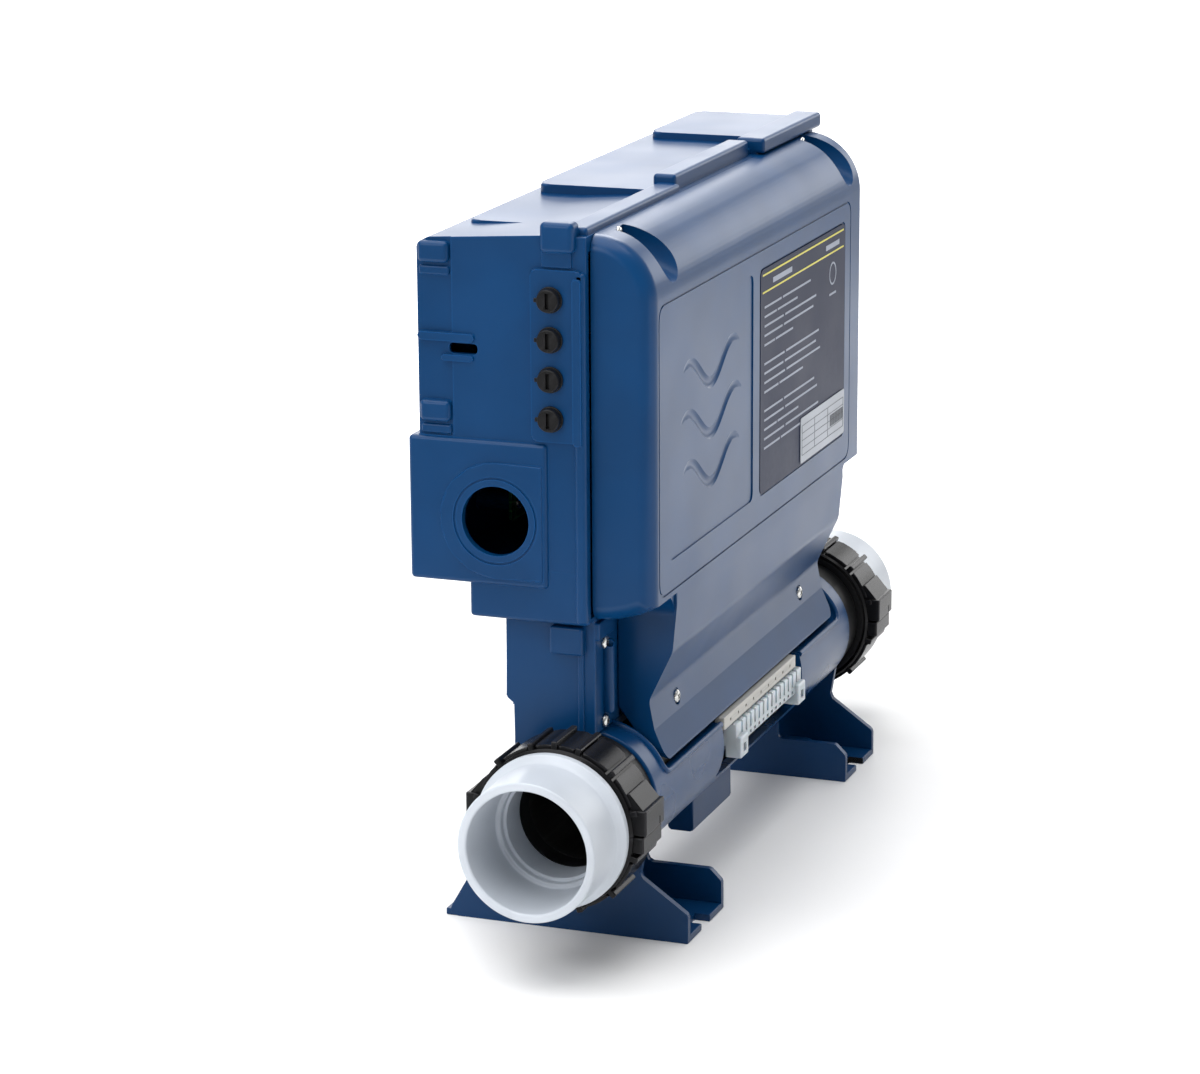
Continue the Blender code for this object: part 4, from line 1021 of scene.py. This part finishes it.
# ---------------------------------------------------------------- heater
def jacket_lip(side):
    """Raised lip that follows the mouth of the jacket around the skirt."""
    mouth_z = SKIRT_Z - 0.0034
    r = JACKET_R + 0.0001
    start = 180 - degrees(atan2(mouth_z - TUBE_Z, (r ** 2 - (mouth_z - TUBE_Z) ** 2) ** 0.5))
    end = 180 - degrees(atan2((r ** 2 - (PARTING_Y - TUBE_Y) ** 2) ** 0.5, TUBE_Y - PARTING_Y))
    window = SENSOR_WINDOW_X[0] if side < 0 else SENSOR_WINDOW_X[1]
    corner = side * (SKIRT_HALF + 0.0070)
    on_arc = arc((TUBE_Y, TUBE_Z), r, start, end, 14)
    y0, z0 = on_arc[0]
    path = [(window + side * 0.0006, y0, z0), (corner - side * 0.006, y0, z0)]
    for k in range(1, 5):
        angle = pi / 2 * k / 4
        y, z = arc((TUBE_Y, TUBE_Z), r, start, start + (end - start) * 0.16 * (1 - cos(angle)), 1)[1]
        path.append((corner - side * 0.006 * (1 - sin(angle)), y, z))
    path += [(corner, y, z) for y, z in arc((TUBE_Y, TUBE_Z), r, start + (end - start) * 0.2, end, 12)]
    return tube(path, 0.0015, 12)


def heater_jacket():
    whole = 2 * HALF_LENGTH
    profile = [(JACKET_END_U, JACKET_BORE_R), (JACKET_END_U, JACKET_R),
               (whole - JACKET_END_U, JACKET_R), (whole - JACKET_END_U, JACKET_BORE_R)]
    sleeve = turned(fillet(profile, (0, 0.0012, 0.0012, 0), 5), (-HALF_LENGTH, TUBE_Y, TUBE_Z), 128)
    mouth_half = SKIRT_HALF + 0.0058
    mouth = slab_outline(-mouth_half, mouth_half, SKIRT_Z - 0.0030, TUBE_Z + 0.050, 0.006, 6)
    cut(sleeve, prism("Y", mouth, TUBE_Y - 0.050, PARTING_Y))
    low, high = SENSOR_WINDOW_X
    window = slab_outline(low, high, 0.0520, SKIRT_Z + 0.004, 0.003, 5)
    cut(sleeve, prism("Y", window, TUBE_Y - 0.050, TUBE_Y - 0.020))
    for side in (-1, 1):
        join(sleeve, jacket_lip(side))
    for x in SKIRT_SCREW_X:
        join(sleeve, rounded_box((x - 0.006, CREASE_Y + 0.0080, TUBE_Z + 0.0305),
                                 (x + 0.006, TUBE_Y, TUBE_Z + 0.0430), 0.0010))
        cut(sleeve, rod((x, SKIRT_Y, SKIRT_SCREW_Z), (x, TUBE_Y - 0.008, SKIRT_SCREW_Z), HOLE_R, 20))
    for x in TERMINAL_X:
        cut(sleeve, rod((x, TUBE_Y, TUBE_Z), (x, TUBE_Y, TUBE_Z + 0.060), 0.012, 40))
    deliver(sleeve, "jacket_sleeve", "jacket", "root", "blue_plastic", "heater_jacket")


def heater_core():
    length = TUBE_BOX[1].x - TUBE_BOX[0].x
    wall = fillet([(0, BORE_R), (0, TUBE_R), (length, TUBE_R), (length, BORE_R)], 0.0004, 3)
    pipe = turned(wall, (TUBE_BOX[0].x, TUBE_Y, TUBE_Z), 128)
    for x in TERMINAL_X:
        cut(pipe, rod((x, TUBE_Y, TUBE_Z + 0.010), (x, TUBE_Y, TUBE_Z + 0.040), 0.0043, 24))
    deliver(pipe, "heater_pipe", "drawn_steel", "root", "steel", "heater_tube")

    run_z, loop_r, bend, reach = TUBE_Z + 0.008, 0.009, 0.006, 0.130
    top = TUBE_Z + 0.046
    half = [(TERMINAL_X[1], top), (TERMINAL_X[1], top - 0.010)]
    half += arc((TERMINAL_X[1] + bend, run_z + bend), bend, 180, 270, 8)
    half += arc((reach, run_z - loop_r), loop_r, 90, -90, 16)
    points = [(-x, TUBE_Y, z) for x, z in half] + [(x, TUBE_Y, z) for x, z in half[::-1]]
    deliver(tube(points, 0.0040, 20), "element_rod", "alloy", "root", "element_alloy", "heating_element")

    for tag, x in zip(("left", "right"), TERMINAL_X):
        low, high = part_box("terminal_nut_" + tag)
        outline = [(x + 0.0085 * cos(tau * k / 6), TUBE_Y + 0.0085 * sin(tau * k / 6)) for k in range(6)]
        nut = prism("Z", outline, low.z, high.z)
        crown = turned([(low.z, 0.0), (low.z, 0.0080), (low.z + 0.0008, 0.0088), (high.z - 0.0008, 0.0088),
                        (high.z, 0.0080), (high.z, 0.0)], (0, 0, 0), 48)
        crown.data.transform(Matrix.Translation((x, TUBE_Y, 0)) @ Matrix.Rotation(-pi / 2, 4, "Y"))
        combine(nut, crown, "INTERSECT")
        cut(nut, rod((x, TUBE_Y, low.z - 0.01), (x, TUBE_Y, high.z + 0.01), 0.0043, 32))
        deliver(nut, "terminal_nut_" + tag + "_detail", "brass", "root", "brass", "terminal_nut_" + tag)


def connector():
    low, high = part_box("sensor_strip")
    strip = rounded_box(low, high, 0.0005)
    middle_z = (low.z + high.z) / 2
    for i in range(9):
        x = low.x + 0.010 + i * (high.x - low.x - 0.020) / 8
        cut(strip, rod((x, low.y - 0.002, middle_z), (x, low.y + 0.0012, middle_z), 0.0009, 16))
    deliver(strip, "sensor_strip_detail", "strip", "root", "strip_tin", "sensor_strip")

    low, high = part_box("sensor_connector")
    floor_z = low.z + 0.0060
    front = low.y + 0.0025
    block = rounded_box((low.x, front, floor_z), high, 0.0008)
    ways = 14
    pitch = (high.x - low.x - 0.010) / ways
    for i in range(ways):
        x = low.x + 0.005 + (i + 0.5) * pitch
        cut(block, rounded_box((x - pitch * 0.17, front - 0.002, floor_z + 0.0046),
                               (x + pitch * 0.17, front + 0.0030, high.z + 0.001)))
        cut(block, rounded_box((x - pitch * 0.20, front - 0.002, floor_z + 0.0012),
                               (x + pitch * 0.20, front + 0.0020, floor_z + 0.0030)))
    for lug_x in (low.x, high.x - 0.012):
        join(block, rounded_box((lug_x, low.y, low.z),
                                (lug_x + 0.012, low.y + 0.0090, low.z + 0.0115), 0.0010))
        cut(block, rounded_box((lug_x + 0.0038, low.y - 0.002, low.z + 0.0030),
                               (lug_x + 0.0082, low.y + 0.0055, low.z + 0.0074)))
    deliver(block, "sensor_connector_detail", "nylon", "root", "connector_nylon", "sensor_connector")
    marks = []
    for i in range(0, ways, 2):
        x = low.x + 0.005 + (i + 0.5) * pitch
        marks.append(rounded_box((x - pitch * 0.14, front + 0.0006, floor_z + 0.0048),
                                 (x + pitch * 0.14, front + 0.0028, high.z - 0.0012), 0.0002))
    deliver(merged(marks), "sensor_pins", "tint", "root", "connector_nylon")


# ---------------------------------------------------------------- pipe unions
def axis_point(side):
    return (side * HALF_LENGTH, TUBE_Y, TUBE_Z)


def facing(side, profile):
    return [(-side * u, r) for u, r in profile]


def end_fitting(side, tag):
    """Black collar on the end of the heater tube, with plain rings in place of a helical thread."""
    start = FITTING_U
    profile = [(start, BORE_R), (start, 0.0366)]
    u = start + 0.0006
    while u < 0.0660:
        profile += [(u, 0.0372), (u + 0.0004, 0.0372), (u + 0.0009, 0.0363), (u + 0.0011, 0.0363)]
        u += 0.0016
    profile += [(0.0672, 0.0370), (0.0672, COLLAR_R), (JACKET_END_U - GAP, COLLAR_R),
                (JACKET_END_U - GAP, 0.0306), (0.0900, 0.0306), (0.0900, TUBE_R + GAP),
                (TUBE_END_U - GAP, TUBE_R + GAP), (TUBE_END_U - GAP, BORE_R)]
    made = turned(facing(side, profile), axis_point(side), 96)
    deliver(made, "heater_end_" + tag + "_detail", "dull_black", "root", "black_plastic", "heater_end_" + tag)


def tailpiece(side, tag):
    end = FITTING_U - 0.0005
    seal_r, wire = 0.0315, 0.0014
    inner, outer = seal_r - wire - GAP, seal_r + wire + GAP
    depth = 2 * wire + GAP
    profile = [(0, SOCKET_R), (0, RIM_R), (0.0290, 0.0348), (0.0320, 0.0385), (0.0360, 0.0385),
               (0.0360, 0.0350), (0.0432, 0.0350), (0.0432, 0.0372), (end, 0.0372), (end, outer),
               (end - depth, outer), (end - depth, inner), (end, inner), (end, BORE_R),
               (SOCKET_DEPTH + 0.004, BORE_R),
               (SOCKET_DEPTH + 0.004, BORE_R + 0.0016), (SOCKET_DEPTH, BORE_R + 0.0016),
               (SOCKET_DEPTH, SOCKET_R - 0.0006)]
    radii = (0.0014, 0.0012, 0.004, 0.0014, 0.0008, 0, 0, 0.0004, 0.0004, 0, 0, 0, 0, 0.0004, 0.0006, 0.0006,
             0.0012, 0.0012)
    made = turned(facing(side, fillet(profile, radii, 5)), axis_point(side), 160)
    deliver(made, "tailpiece_" + tag + "_detail", "white", "tail_" + tag, "white_plastic", "tailpiece_" + tag)
    middle = end - wire - GAP
    turns = [tau * i / 16 for i in range(16)]
    wire_ring = [(-side * middle + wire * cos(turn), seal_r + wire * sin(turn)) for turn in turns]
    deliver(turned(wire_ring, axis_point(side), 96), "o_ring_" + tag + "_detail", "rubber", "tail_" + tag,
            "seal_rubber", "o_ring_" + tag)


def sector(side, low_u, high_u, low_r, high_r, from_deg, to_deg, radius=0.0007):
    """A curved block on the nut, angles from +Y towards +Z."""
    steps = max(3, int(abs(to_deg - from_deg) / 4))
    outline = arc((TUBE_Y, TUBE_Z), high_r, from_deg, to_deg, steps) \
        + arc((TUBE_Y, TUBE_Z), low_r, to_deg, from_deg, steps)
    low_x, high_x = sorted((side * (HALF_LENGTH - low_u), side * (HALF_LENGTH - high_u)))
    return prism("X", outline, low_x, high_x, radius)


def nut_rib(side, angle, width, height, low_u, high_u):
    middle = sorted((side * (HALF_LENGTH - low_u), side * (HALF_LENGTH - high_u)))
    rib = rounded_box((middle[0], -width / 2, NUT_R - 0.0045), (middle[1], width / 2, NUT_R + height), 0.0007)
    rib.data.transform(Matrix.Translation((0, TUBE_Y, TUBE_Z)) @ Matrix.Rotation(radians(angle - 90), 4, "X"))
    return rib


def nut_half(side, tag, upper):
    low, high = NUT_U
    sign = 1 if upper else -1
    profile = [(low, NUT_SEAT_R), (low, NUT_R - 0.0036), (low + 0.0016, NUT_R - 0.0018),
               (high - 0.0012, NUT_R - 0.0018), (high, NUT_R - 0.0028), (high, NUT_BORE_R),
               (0.0430, NUT_BORE_R), (0.0430, NUT_SEAT_R)]
    start, end = (0.25, 179.75) if upper else (180.25, 359.75)
    radii = (0.0003, 0.0006, 0.0012, 0.0008, 0.0004, 0, 0, 0)
    outline = facing(side, fillet(profile, radii, 4))
    half = turned(outline, axis_point(side), 72, "X", radians(start), radians(end))
    for low_deg, high_deg in ((20, 42), (50, 70), (76, 88), (92, 104), (110, 130), (138, 160)):
        pad = sorted((sign * low_deg, sign * high_deg))
        join(half, sector(side, low + 0.0030, high - 0.0025, NUT_R - 0.0040, NUT_R - 0.0002, *pad))
    for angle, height in ((16, 0.0018), (46, 0.0018), (73, 0.0014), (90, 0.0018), (107, 0.0014),
                          (134, 0.0018), (164, 0.0018)):
        join(half, nut_rib(side, sign * angle, 0.0030, height, low + 0.0015, high - 0.0015))
    for hand in (-1, 1):
        reach = LUG_R if upper else LUG_R - 0.0014
        lug_y = sorted((TUBE_Y + hand * 0.0368, TUBE_Y + hand * reach))
        lug_z = (TUBE_Z + 0.0004, TUBE_Z + 0.0130) if upper else (TUBE_Z - 0.0085, TUBE_Z - 0.0004)
        near, far = sorted((side * (HALF_LENGTH - low - 0.0026), side * (HALF_LENGTH - high + 0.0026)))
        join(half, rounded_box((near, lug_y[0], lug_z[0]), (far, lug_y[1], lug_z[1]), 0.0009))
        if upper:
            cheek = fillet([(TUBE_Y + hand * reach, TUBE_Z + 0.0105),
                            (TUBE_Y + hand * 0.0365, TUBE_Z + 0.0215),
                            (TUBE_Y + hand * 0.0340, TUBE_Z + 0.0100)], 0.0008, 3)
            join(half, prism("X", cheek, near + 0.001, far - 0.001, 0.0006))
            notch = rounded_box((near + 0.006, TUBE_Y + hand * (reach + 0.002) - 0.0022, TUBE_Z - 0.001),
                                (far - 0.006, TUBE_Y + hand * (reach + 0.002) + 0.0022, TUBE_Z + 0.0052))
            cut(half, notch)
    bore_start, bore_end = side * (HALF_LENGTH - 0.0425), side * (HALF_LENGTH - 0.0800)
    cut(half, rod((bore_start, TUBE_Y, TUBE_Z), (bore_end, TUBE_Y, TUBE_Z), NUT_BORE_R, 96))
    name = ("nut_upper_" if upper else "nut_lower_") + tag
    deliver(half, name + "_detail", "black", "nut_" + tag, "black_plastic", name)


# ---------------------------------------------------------------- feet and cable hook
def foot(side, tag):
    low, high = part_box("foot_" + tag)
    wall = 0.0035
    width = high.x - low.x
    toe_y, back_y = low.y, high.y
    outer_x = max(abs(low.x), abs(high.x))

    def slab(outline, start, end, radius=0.0007):
        near, far = sorted((side * (outer_x - start), side * (outer_x - end)))
        return prism("X", outline, near, far, radius)

    tall = [(TUBE_Y + y, TUBE_Z + z) for y, z in
            ((-0.0500, -0.0700), (0.0775, -0.0700), (0.0550, -0.0310), (0.0340, -0.0100), (-0.0300, -0.0100),
             (-0.0252, -0.0379), (-0.0500, -0.0553))]
    made = slab(fillet(tall, (0.0005, 0.004, 0.006, 0.002, 0.002, 0.003, 0.003), 5), 0, wall)
    plate = fillet([(toe_y, 0), (back_y, 0), (back_y, wall), (toe_y, wall)], 0.0006, 3)
    join(made, slab(plate, 0.0001, width - 0.0001, 0.0006))
    low_web = [(toe_y, 0), (back_y, 0), (back_y, 0.012), (back_y - 0.009, 0.0212), (TUBE_Y + 0.024, 0.0212),
               (TUBE_Y + 0.024, 0.045), (TUBE_Y - 0.0105, 0.045), (TUBE_Y - 0.0105, 0.0212),
               (toe_y + 0.006, 0.0212), (toe_y, 0.0152)]
    join(made, slab(fillet(low_web, (0.0005, 0.0005, 0.002, 0.003, 0.003, 0, 0, 0.003, 0.0030, 0.0030), 5),
                    width - wall, width))
    rib_front, rib_back = toe_y + 0.026, TUBE_Y + 0.030
    rib = fillet([(rib_front, 0.001), (rib_back, 0.001), (rib_back, 0.014), (rib_front, 0.014)],
                 (0, 0, 0.002, 0.005), 6)
    join(made, slab(rib, 0.026, 0.029))
    low_x, high_x = sorted((side * (outer_x - 0.0205), side * (outer_x - 0.0335)))
    cut(made, rounded_box((low_x, toe_y - 0.005, -0.005), (high_x, toe_y + 0.008, 0.010)))
    cut(made, rod((-HALF_LENGTH, TUBE_Y, TUBE_Z), (HALF_LENGTH, TUBE_Y, TUBE_Z), JACKET_R + GAP, 128))
    deliver(made, "foot_" + tag + "_detail", "foot", "root", "blue_plastic", "foot_" + tag)


def cable_hook():
    low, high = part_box("cable_hook")
    floor = low.z
    outline = fillet([(TUBE_Y - 0.0205, floor), (TUBE_Y - 0.0070, floor), (TUBE_Y - 0.0070, 0.0400),
                      (TUBE_Y - 0.0205, 0.0480)], (0.0015, 0.0015, 0, 0), 4)
    hook = prism("X", outline, low.x, high.x, 0.0009)
    cut(hook, rod((-HALF_LENGTH, TUBE_Y, TUBE_Z), (HALF_LENGTH, TUBE_Y, TUBE_Z), JACKET_R + GAP, 128))
    cut(hook, rounded_box((low.x + 0.003, TUBE_Y - 0.0180, floor + 0.003),
                          (high.x + 0.010, TUBE_Y - 0.0095, 0.0600), 0.0008))
    deliver(hook, "cable_hook_detail", "foot", "root", "blue_plastic", "cable_hook")


# ---------------------------------------------------------------- electronics
def circuit_board():
    low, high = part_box("circuit_board")
    board = prism("Y", slab_outline(low.x, high.x, low.z, high.z, 0.003), low.y, high.y)
    for x in (low.x + 0.008, high.x - 0.008):
        for z in (low.z + 0.008, high.z - 0.008):
            cut(board, rod((x, low.y - 0.01, z), (x, high.y + 0.01, z), HOLE_R, 24))
    deliver(board, "board_detail", "board", "root", "board_green", "circuit_board")

    front = low.y - 0.0001
    parts = []
    for i in range(11):
        x = low.x + 0.020 + i * 0.0105
        parts.append(rounded_box((x, front - 0.0022, 0.2620), (x + 0.0060, front, 0.2650), 0.0005))
    for i in range(4):
        x = low.x + 0.022 + i * 0.020
        parts.append(rod((x, front, 0.2480), (x, front - 0.012, 0.2480), 0.0048, 32, rim=0.0008))
    for x, z, wide, tall in ((0.020, 0.2050, 0.018, 0.010), (0.020, 0.2260, 0.012, 0.012),
                             (0.132, 0.2900, 0.010, 0.026)):
        parts.append(rounded_box((x - wide / 2, front - 0.0030, z - tall / 2),
                                 (x + wide / 2, front, z + tall / 2), 0.0005))
    deliver(merged(parts), "board_components", "chip", "root", "board_green")


def relays():
    for i in range(4):
        node = f"relay_{i + 1}"
        low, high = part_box(node)
        case = rounded_box(low, high, 0.0012)
        dent = slab_outline(low.x + 0.004, high.x - 0.004, low.z + 0.004, high.z - 0.004, 0.001)
        cut(case, prism("Y", dent, low.y - 0.01, low.y + 0.0004))
        deliver(case, node + "_detail", "relay", "root", "relay_case", node)


def transformer():
    """Laminated core with two windows, and the winding around its middle leg."""
    low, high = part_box("transformer")
    middle_x, middle_z = (low.x + high.x) / 2, (low.z + high.z) / 2
    core = rounded_box((low.x, high.y - 0.028, middle_z - 0.024), (high.x, high.y, middle_z + 0.024), 0.0008)
    for side in (-1, 1):
        near, far = sorted((middle_x + side * 0.0175, middle_x + side * 0.0090))
        cut(core, rounded_box((near, low.y - 0.01, middle_z - 0.016),
                              (far, high.y - 0.002, middle_z + 0.016)))
    deliver(core, "transformer_core_detail", "core", "root", "transformer_core", "transformer")
    coil = rounded_box((middle_x - 0.0180, high.y - 0.032, middle_z - 0.030),
                       (middle_x + 0.0180, high.y - 0.0283, middle_z + 0.030), 0.0016)
    for end in (-1, 1):
        near, far = sorted((middle_z + end * 0.0243, middle_z + end * 0.030))
        join(coil, rounded_box((middle_x - 0.0178, high.y - 0.0320, near),
                               (middle_x + 0.0178, high.y - 0.004, far), 0.0016))
    deliver(coil, "transformer_winding", "winding", "root", "transformer_core")


def terminal_strip():
    low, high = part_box("terminal_strip")
    strip = rounded_box(low, high, 0.0006)
    screw_z = high.z - 0.005
    heads = []
    for i in range(5):
        x = (low.x + high.x) / 2 + (i - 2) * 0.0115
        cut(strip, rounded_box((x - 0.0035, low.y - 0.010, low.z + 0.002),
                               (x + 0.0035, low.y + 0.0120, low.z + 0.011)))
        cut(strip, rod((x, low.y - 0.01, screw_z), (x, low.y + 0.002, screw_z), 0.0032, 24))
        head = rod((x, low.y + 0.0002, screw_z), (x, low.y + 0.0019, screw_z), 0.0029, 24, rim=0.0003)
        cut(head, rounded_box((x - 0.0040, low.y - 0.001, high.z - 0.0054),
                              (x + 0.0040, low.y + 0.0009, high.z - 0.0046)))
        heads.append(head)
    deliver(strip, "terminal_strip_detail", "terminal", "root", "strip_green", "terminal_strip")
    deliver(merged(heads), "terminal_strip_screws", "steel", "root", "steel")


# ---------------------------------------------------------------- floor, light, camera
def flat_sheet(name, corners, material):
    """One flat face through the corners."""
    bm = bmesh.new()
    bm.faces.new([bm.verts.new(place) for place in corners])
    mesh = bpy.data.meshes.new(name)
    bm.to_mesh(mesh)
    bm.free()
    mesh.materials.append(material)
    made = bpy.data.objects.new(name, mesh)
    bpy.context.scene.collection.objects.link(made)
    return made


def floor():
    """White floor that glows a little far from the object, so that the background stays plain white."""
    made = Nodes("studio_floor")
    made.base(made.ramp(made.noise(3.0), ((0.3, (0.88, 0.88, 0.88)), (0.7, (0.91, 0.91, 0.91)))))
    made.roughness(made.ranged(made.noise(40.0), 0.50, 0.60))
    away = made.add("ShaderNodeVectorMath", operation="LENGTH")
    made.link(made.coordinate, away.inputs[0])
    glow = made.add("ShaderNodeMapRange", interpolation_type="SMOOTHSTEP")
    for socket, value in (("From Min", 0.10), ("From Max", 1.3), ("To Max", 0.75)):
        glow.inputs[socket].default_value = value
    made.link(away.outputs["Value"], glow.inputs["Value"])
    made.link(glow.outputs["Result"], made.shader.inputs["Emission Strength"])
    made.set(Specular_IOR_Level=0.3, Emission_Color=(1, 1, 1, 1))
    made.material.cycles.emission_sampling = "NONE"
    reach = FLOOR_REACH
    corners = ((-reach, -reach, 0), (reach, -reach, 0), (reach, reach, 0), (-reach, reach, 0))
    sheet = flat_sheet("floor", corners, made.material)


def softbox(name, place, aim, size, power, color=(1, 1, 1), gloss_only=False):
    light = bpy.data.lights.new(name, "AREA")
    light.shape = "RECTANGLE"
    light.size, light.size_y = size
    light.energy = power
    light.color = color
    made = bpy.data.objects.new(name, light)
    made.visible_diffuse = not gloss_only
    made.location = place
    made.rotation_euler = (Vector(aim) - Vector(place)).to_track_quat("-Z", "Y").to_euler()
    made.visible_camera = False
    bpy.context.scene.collection.objects.link(made)


def gloss_card(name, near_x, far_x, low_y, high_y, far_z, glow):
    """Dim slope above the floor that only reflections see, which darkens what a side mirrors."""
    made = bpy.data.materials.new(name)
    made.use_nodes = True
    shader = made.node_tree.nodes["Principled BSDF"]
    shader.inputs["Base Color"].default_value = (0.0, 0.0, 0.0, 1.0)
    shader.inputs["Specular IOR Level"].default_value = 0.0
    shader.inputs["Emission Color"].default_value = (1.0, 1.0, 1.0, 1.0)
    shader.inputs["Emission Strength"].default_value = glow
    made.cycles.emission_sampling = "NONE"
    corners = ((near_x, low_y, CARD_Z), (near_x, high_y, CARD_Z),
               (far_x, high_y, far_z), (far_x, low_y, far_z))
    card = flat_sheet(name, corners, made)
    card.visible_camera = False
    card.visible_diffuse = False
    card.visible_shadow = False
    card.visible_transmission = False


def world():
    made = bpy.data.worlds.new("studio")
    made.use_nodes = True
    tree = made.node_tree
    background = tree.nodes["Background"]
    place = tree.nodes.new("ShaderNodeTexCoord")
    split = tree.nodes.new("ShaderNodeSeparateXYZ")
    spread = tree.nodes.new("ShaderNodeMapRange")
    spread.inputs["From Min"].default_value = -1.0
    shade = tree.nodes.new("ShaderNodeValToRGB")
    elements = shade.color_ramp.elements
    elements.new(0.5)
    for element, (position, value) in zip(elements, WORLD_STOPS):
        element.position = position
        element.color = (value, value, value, 1.0)
    tree.links.new(place.outputs["Generated"], split.inputs["Vector"])
    tree.links.new(split.outputs["X"], spread.inputs["Value"])
    tree.links.new(spread.outputs["Result"], shade.inputs["Fac"])
    tree.links.new(shade.outputs["Color"], background.inputs["Color"])
    bpy.context.scene.world = made


def lights():
    softbox("overhead", (-0.35, 0.45, 2.9), (0.1, 0.1, 0.0), (3.4, 3.4), 124.0)
    softbox("left_fill", (-2.4, 0.9, 1.4), (0.0, 0.0, 0.15), (1.2, 1.2), 20.0)
    softbox("far_right", (2.6, 1.25, 0.85), (0.0, 0.0, 0.30), (1.5, 0.7), 9.5, gloss_only=True)
    softbox("far_front", (2.6, -0.95, 0.80), (0.0, 0.0, 0.30), (1.5, 0.9), 10.0, gloss_only=True)
    softbox("shoulder_glow", (2.6, 0.25, 1.45), (0.0, 0.0, 0.30), (1.1, 0.5), 3.2, gloss_only=True)
    softbox("key_top_right", (1.7, 0.5, 2.0), (0.1, -0.02, 0.3), (1.2, 1.2), 45.0, gloss_only=True)


def camera():
    azimuth, elevation, roll = radians(-69.62), radians(14.699), radians(0.369)
    ahead = Vector((-sin(azimuth) * cos(elevation), cos(azimuth) * cos(elevation), -sin(elevation)))
    across = ahead.cross(Vector((0, 0, 1))).normalized()
    down = ahead.cross(across)
    right = across * cos(roll) + down * sin(roll)
    below = down * cos(roll) - across * sin(roll)
    turn = Matrix((right, -below, -ahead)).transposed()
    data = bpy.data.cameras.new("camera")
    data.sensor_width = 36.0
    data.lens = 115.305
    data.clip_end = 50.0
    made = bpy.data.objects.new("camera", data)
    made.matrix_world = Matrix.Translation((-1.82668, -0.64225, 0.66803)) @ turn.to_4x4()
    bpy.context.scene.collection.objects.link(made)
    bpy.context.scene.camera = made


rear_housing()
front_cover()
cover_gasket()
label()
screws()
for number in range(4):
    fuse_set(number)
heater_jacket()
heater_core()
connector()
for hand, word in ((-1, "left"), (1, "right")):
    end_fitting(hand, word)
    tailpiece(hand, word)
    nut_half(hand, word, True)
    nut_half(hand, word, False)
    foot(hand, word)
cable_hook()
circuit_board()
relays()
transformer()
terminal_strip()
floor()
gloss_card("left_card", -0.60, -3.60, -1.6, 2.2, 1.30, 0.20)
gloss_card("right_card", 1.50, 3.90, -2.6, 1.0, 0.22, 0.80)
world()
lights()
camera()
bpy.context.scene.view_settings.view_transform = "Standard"
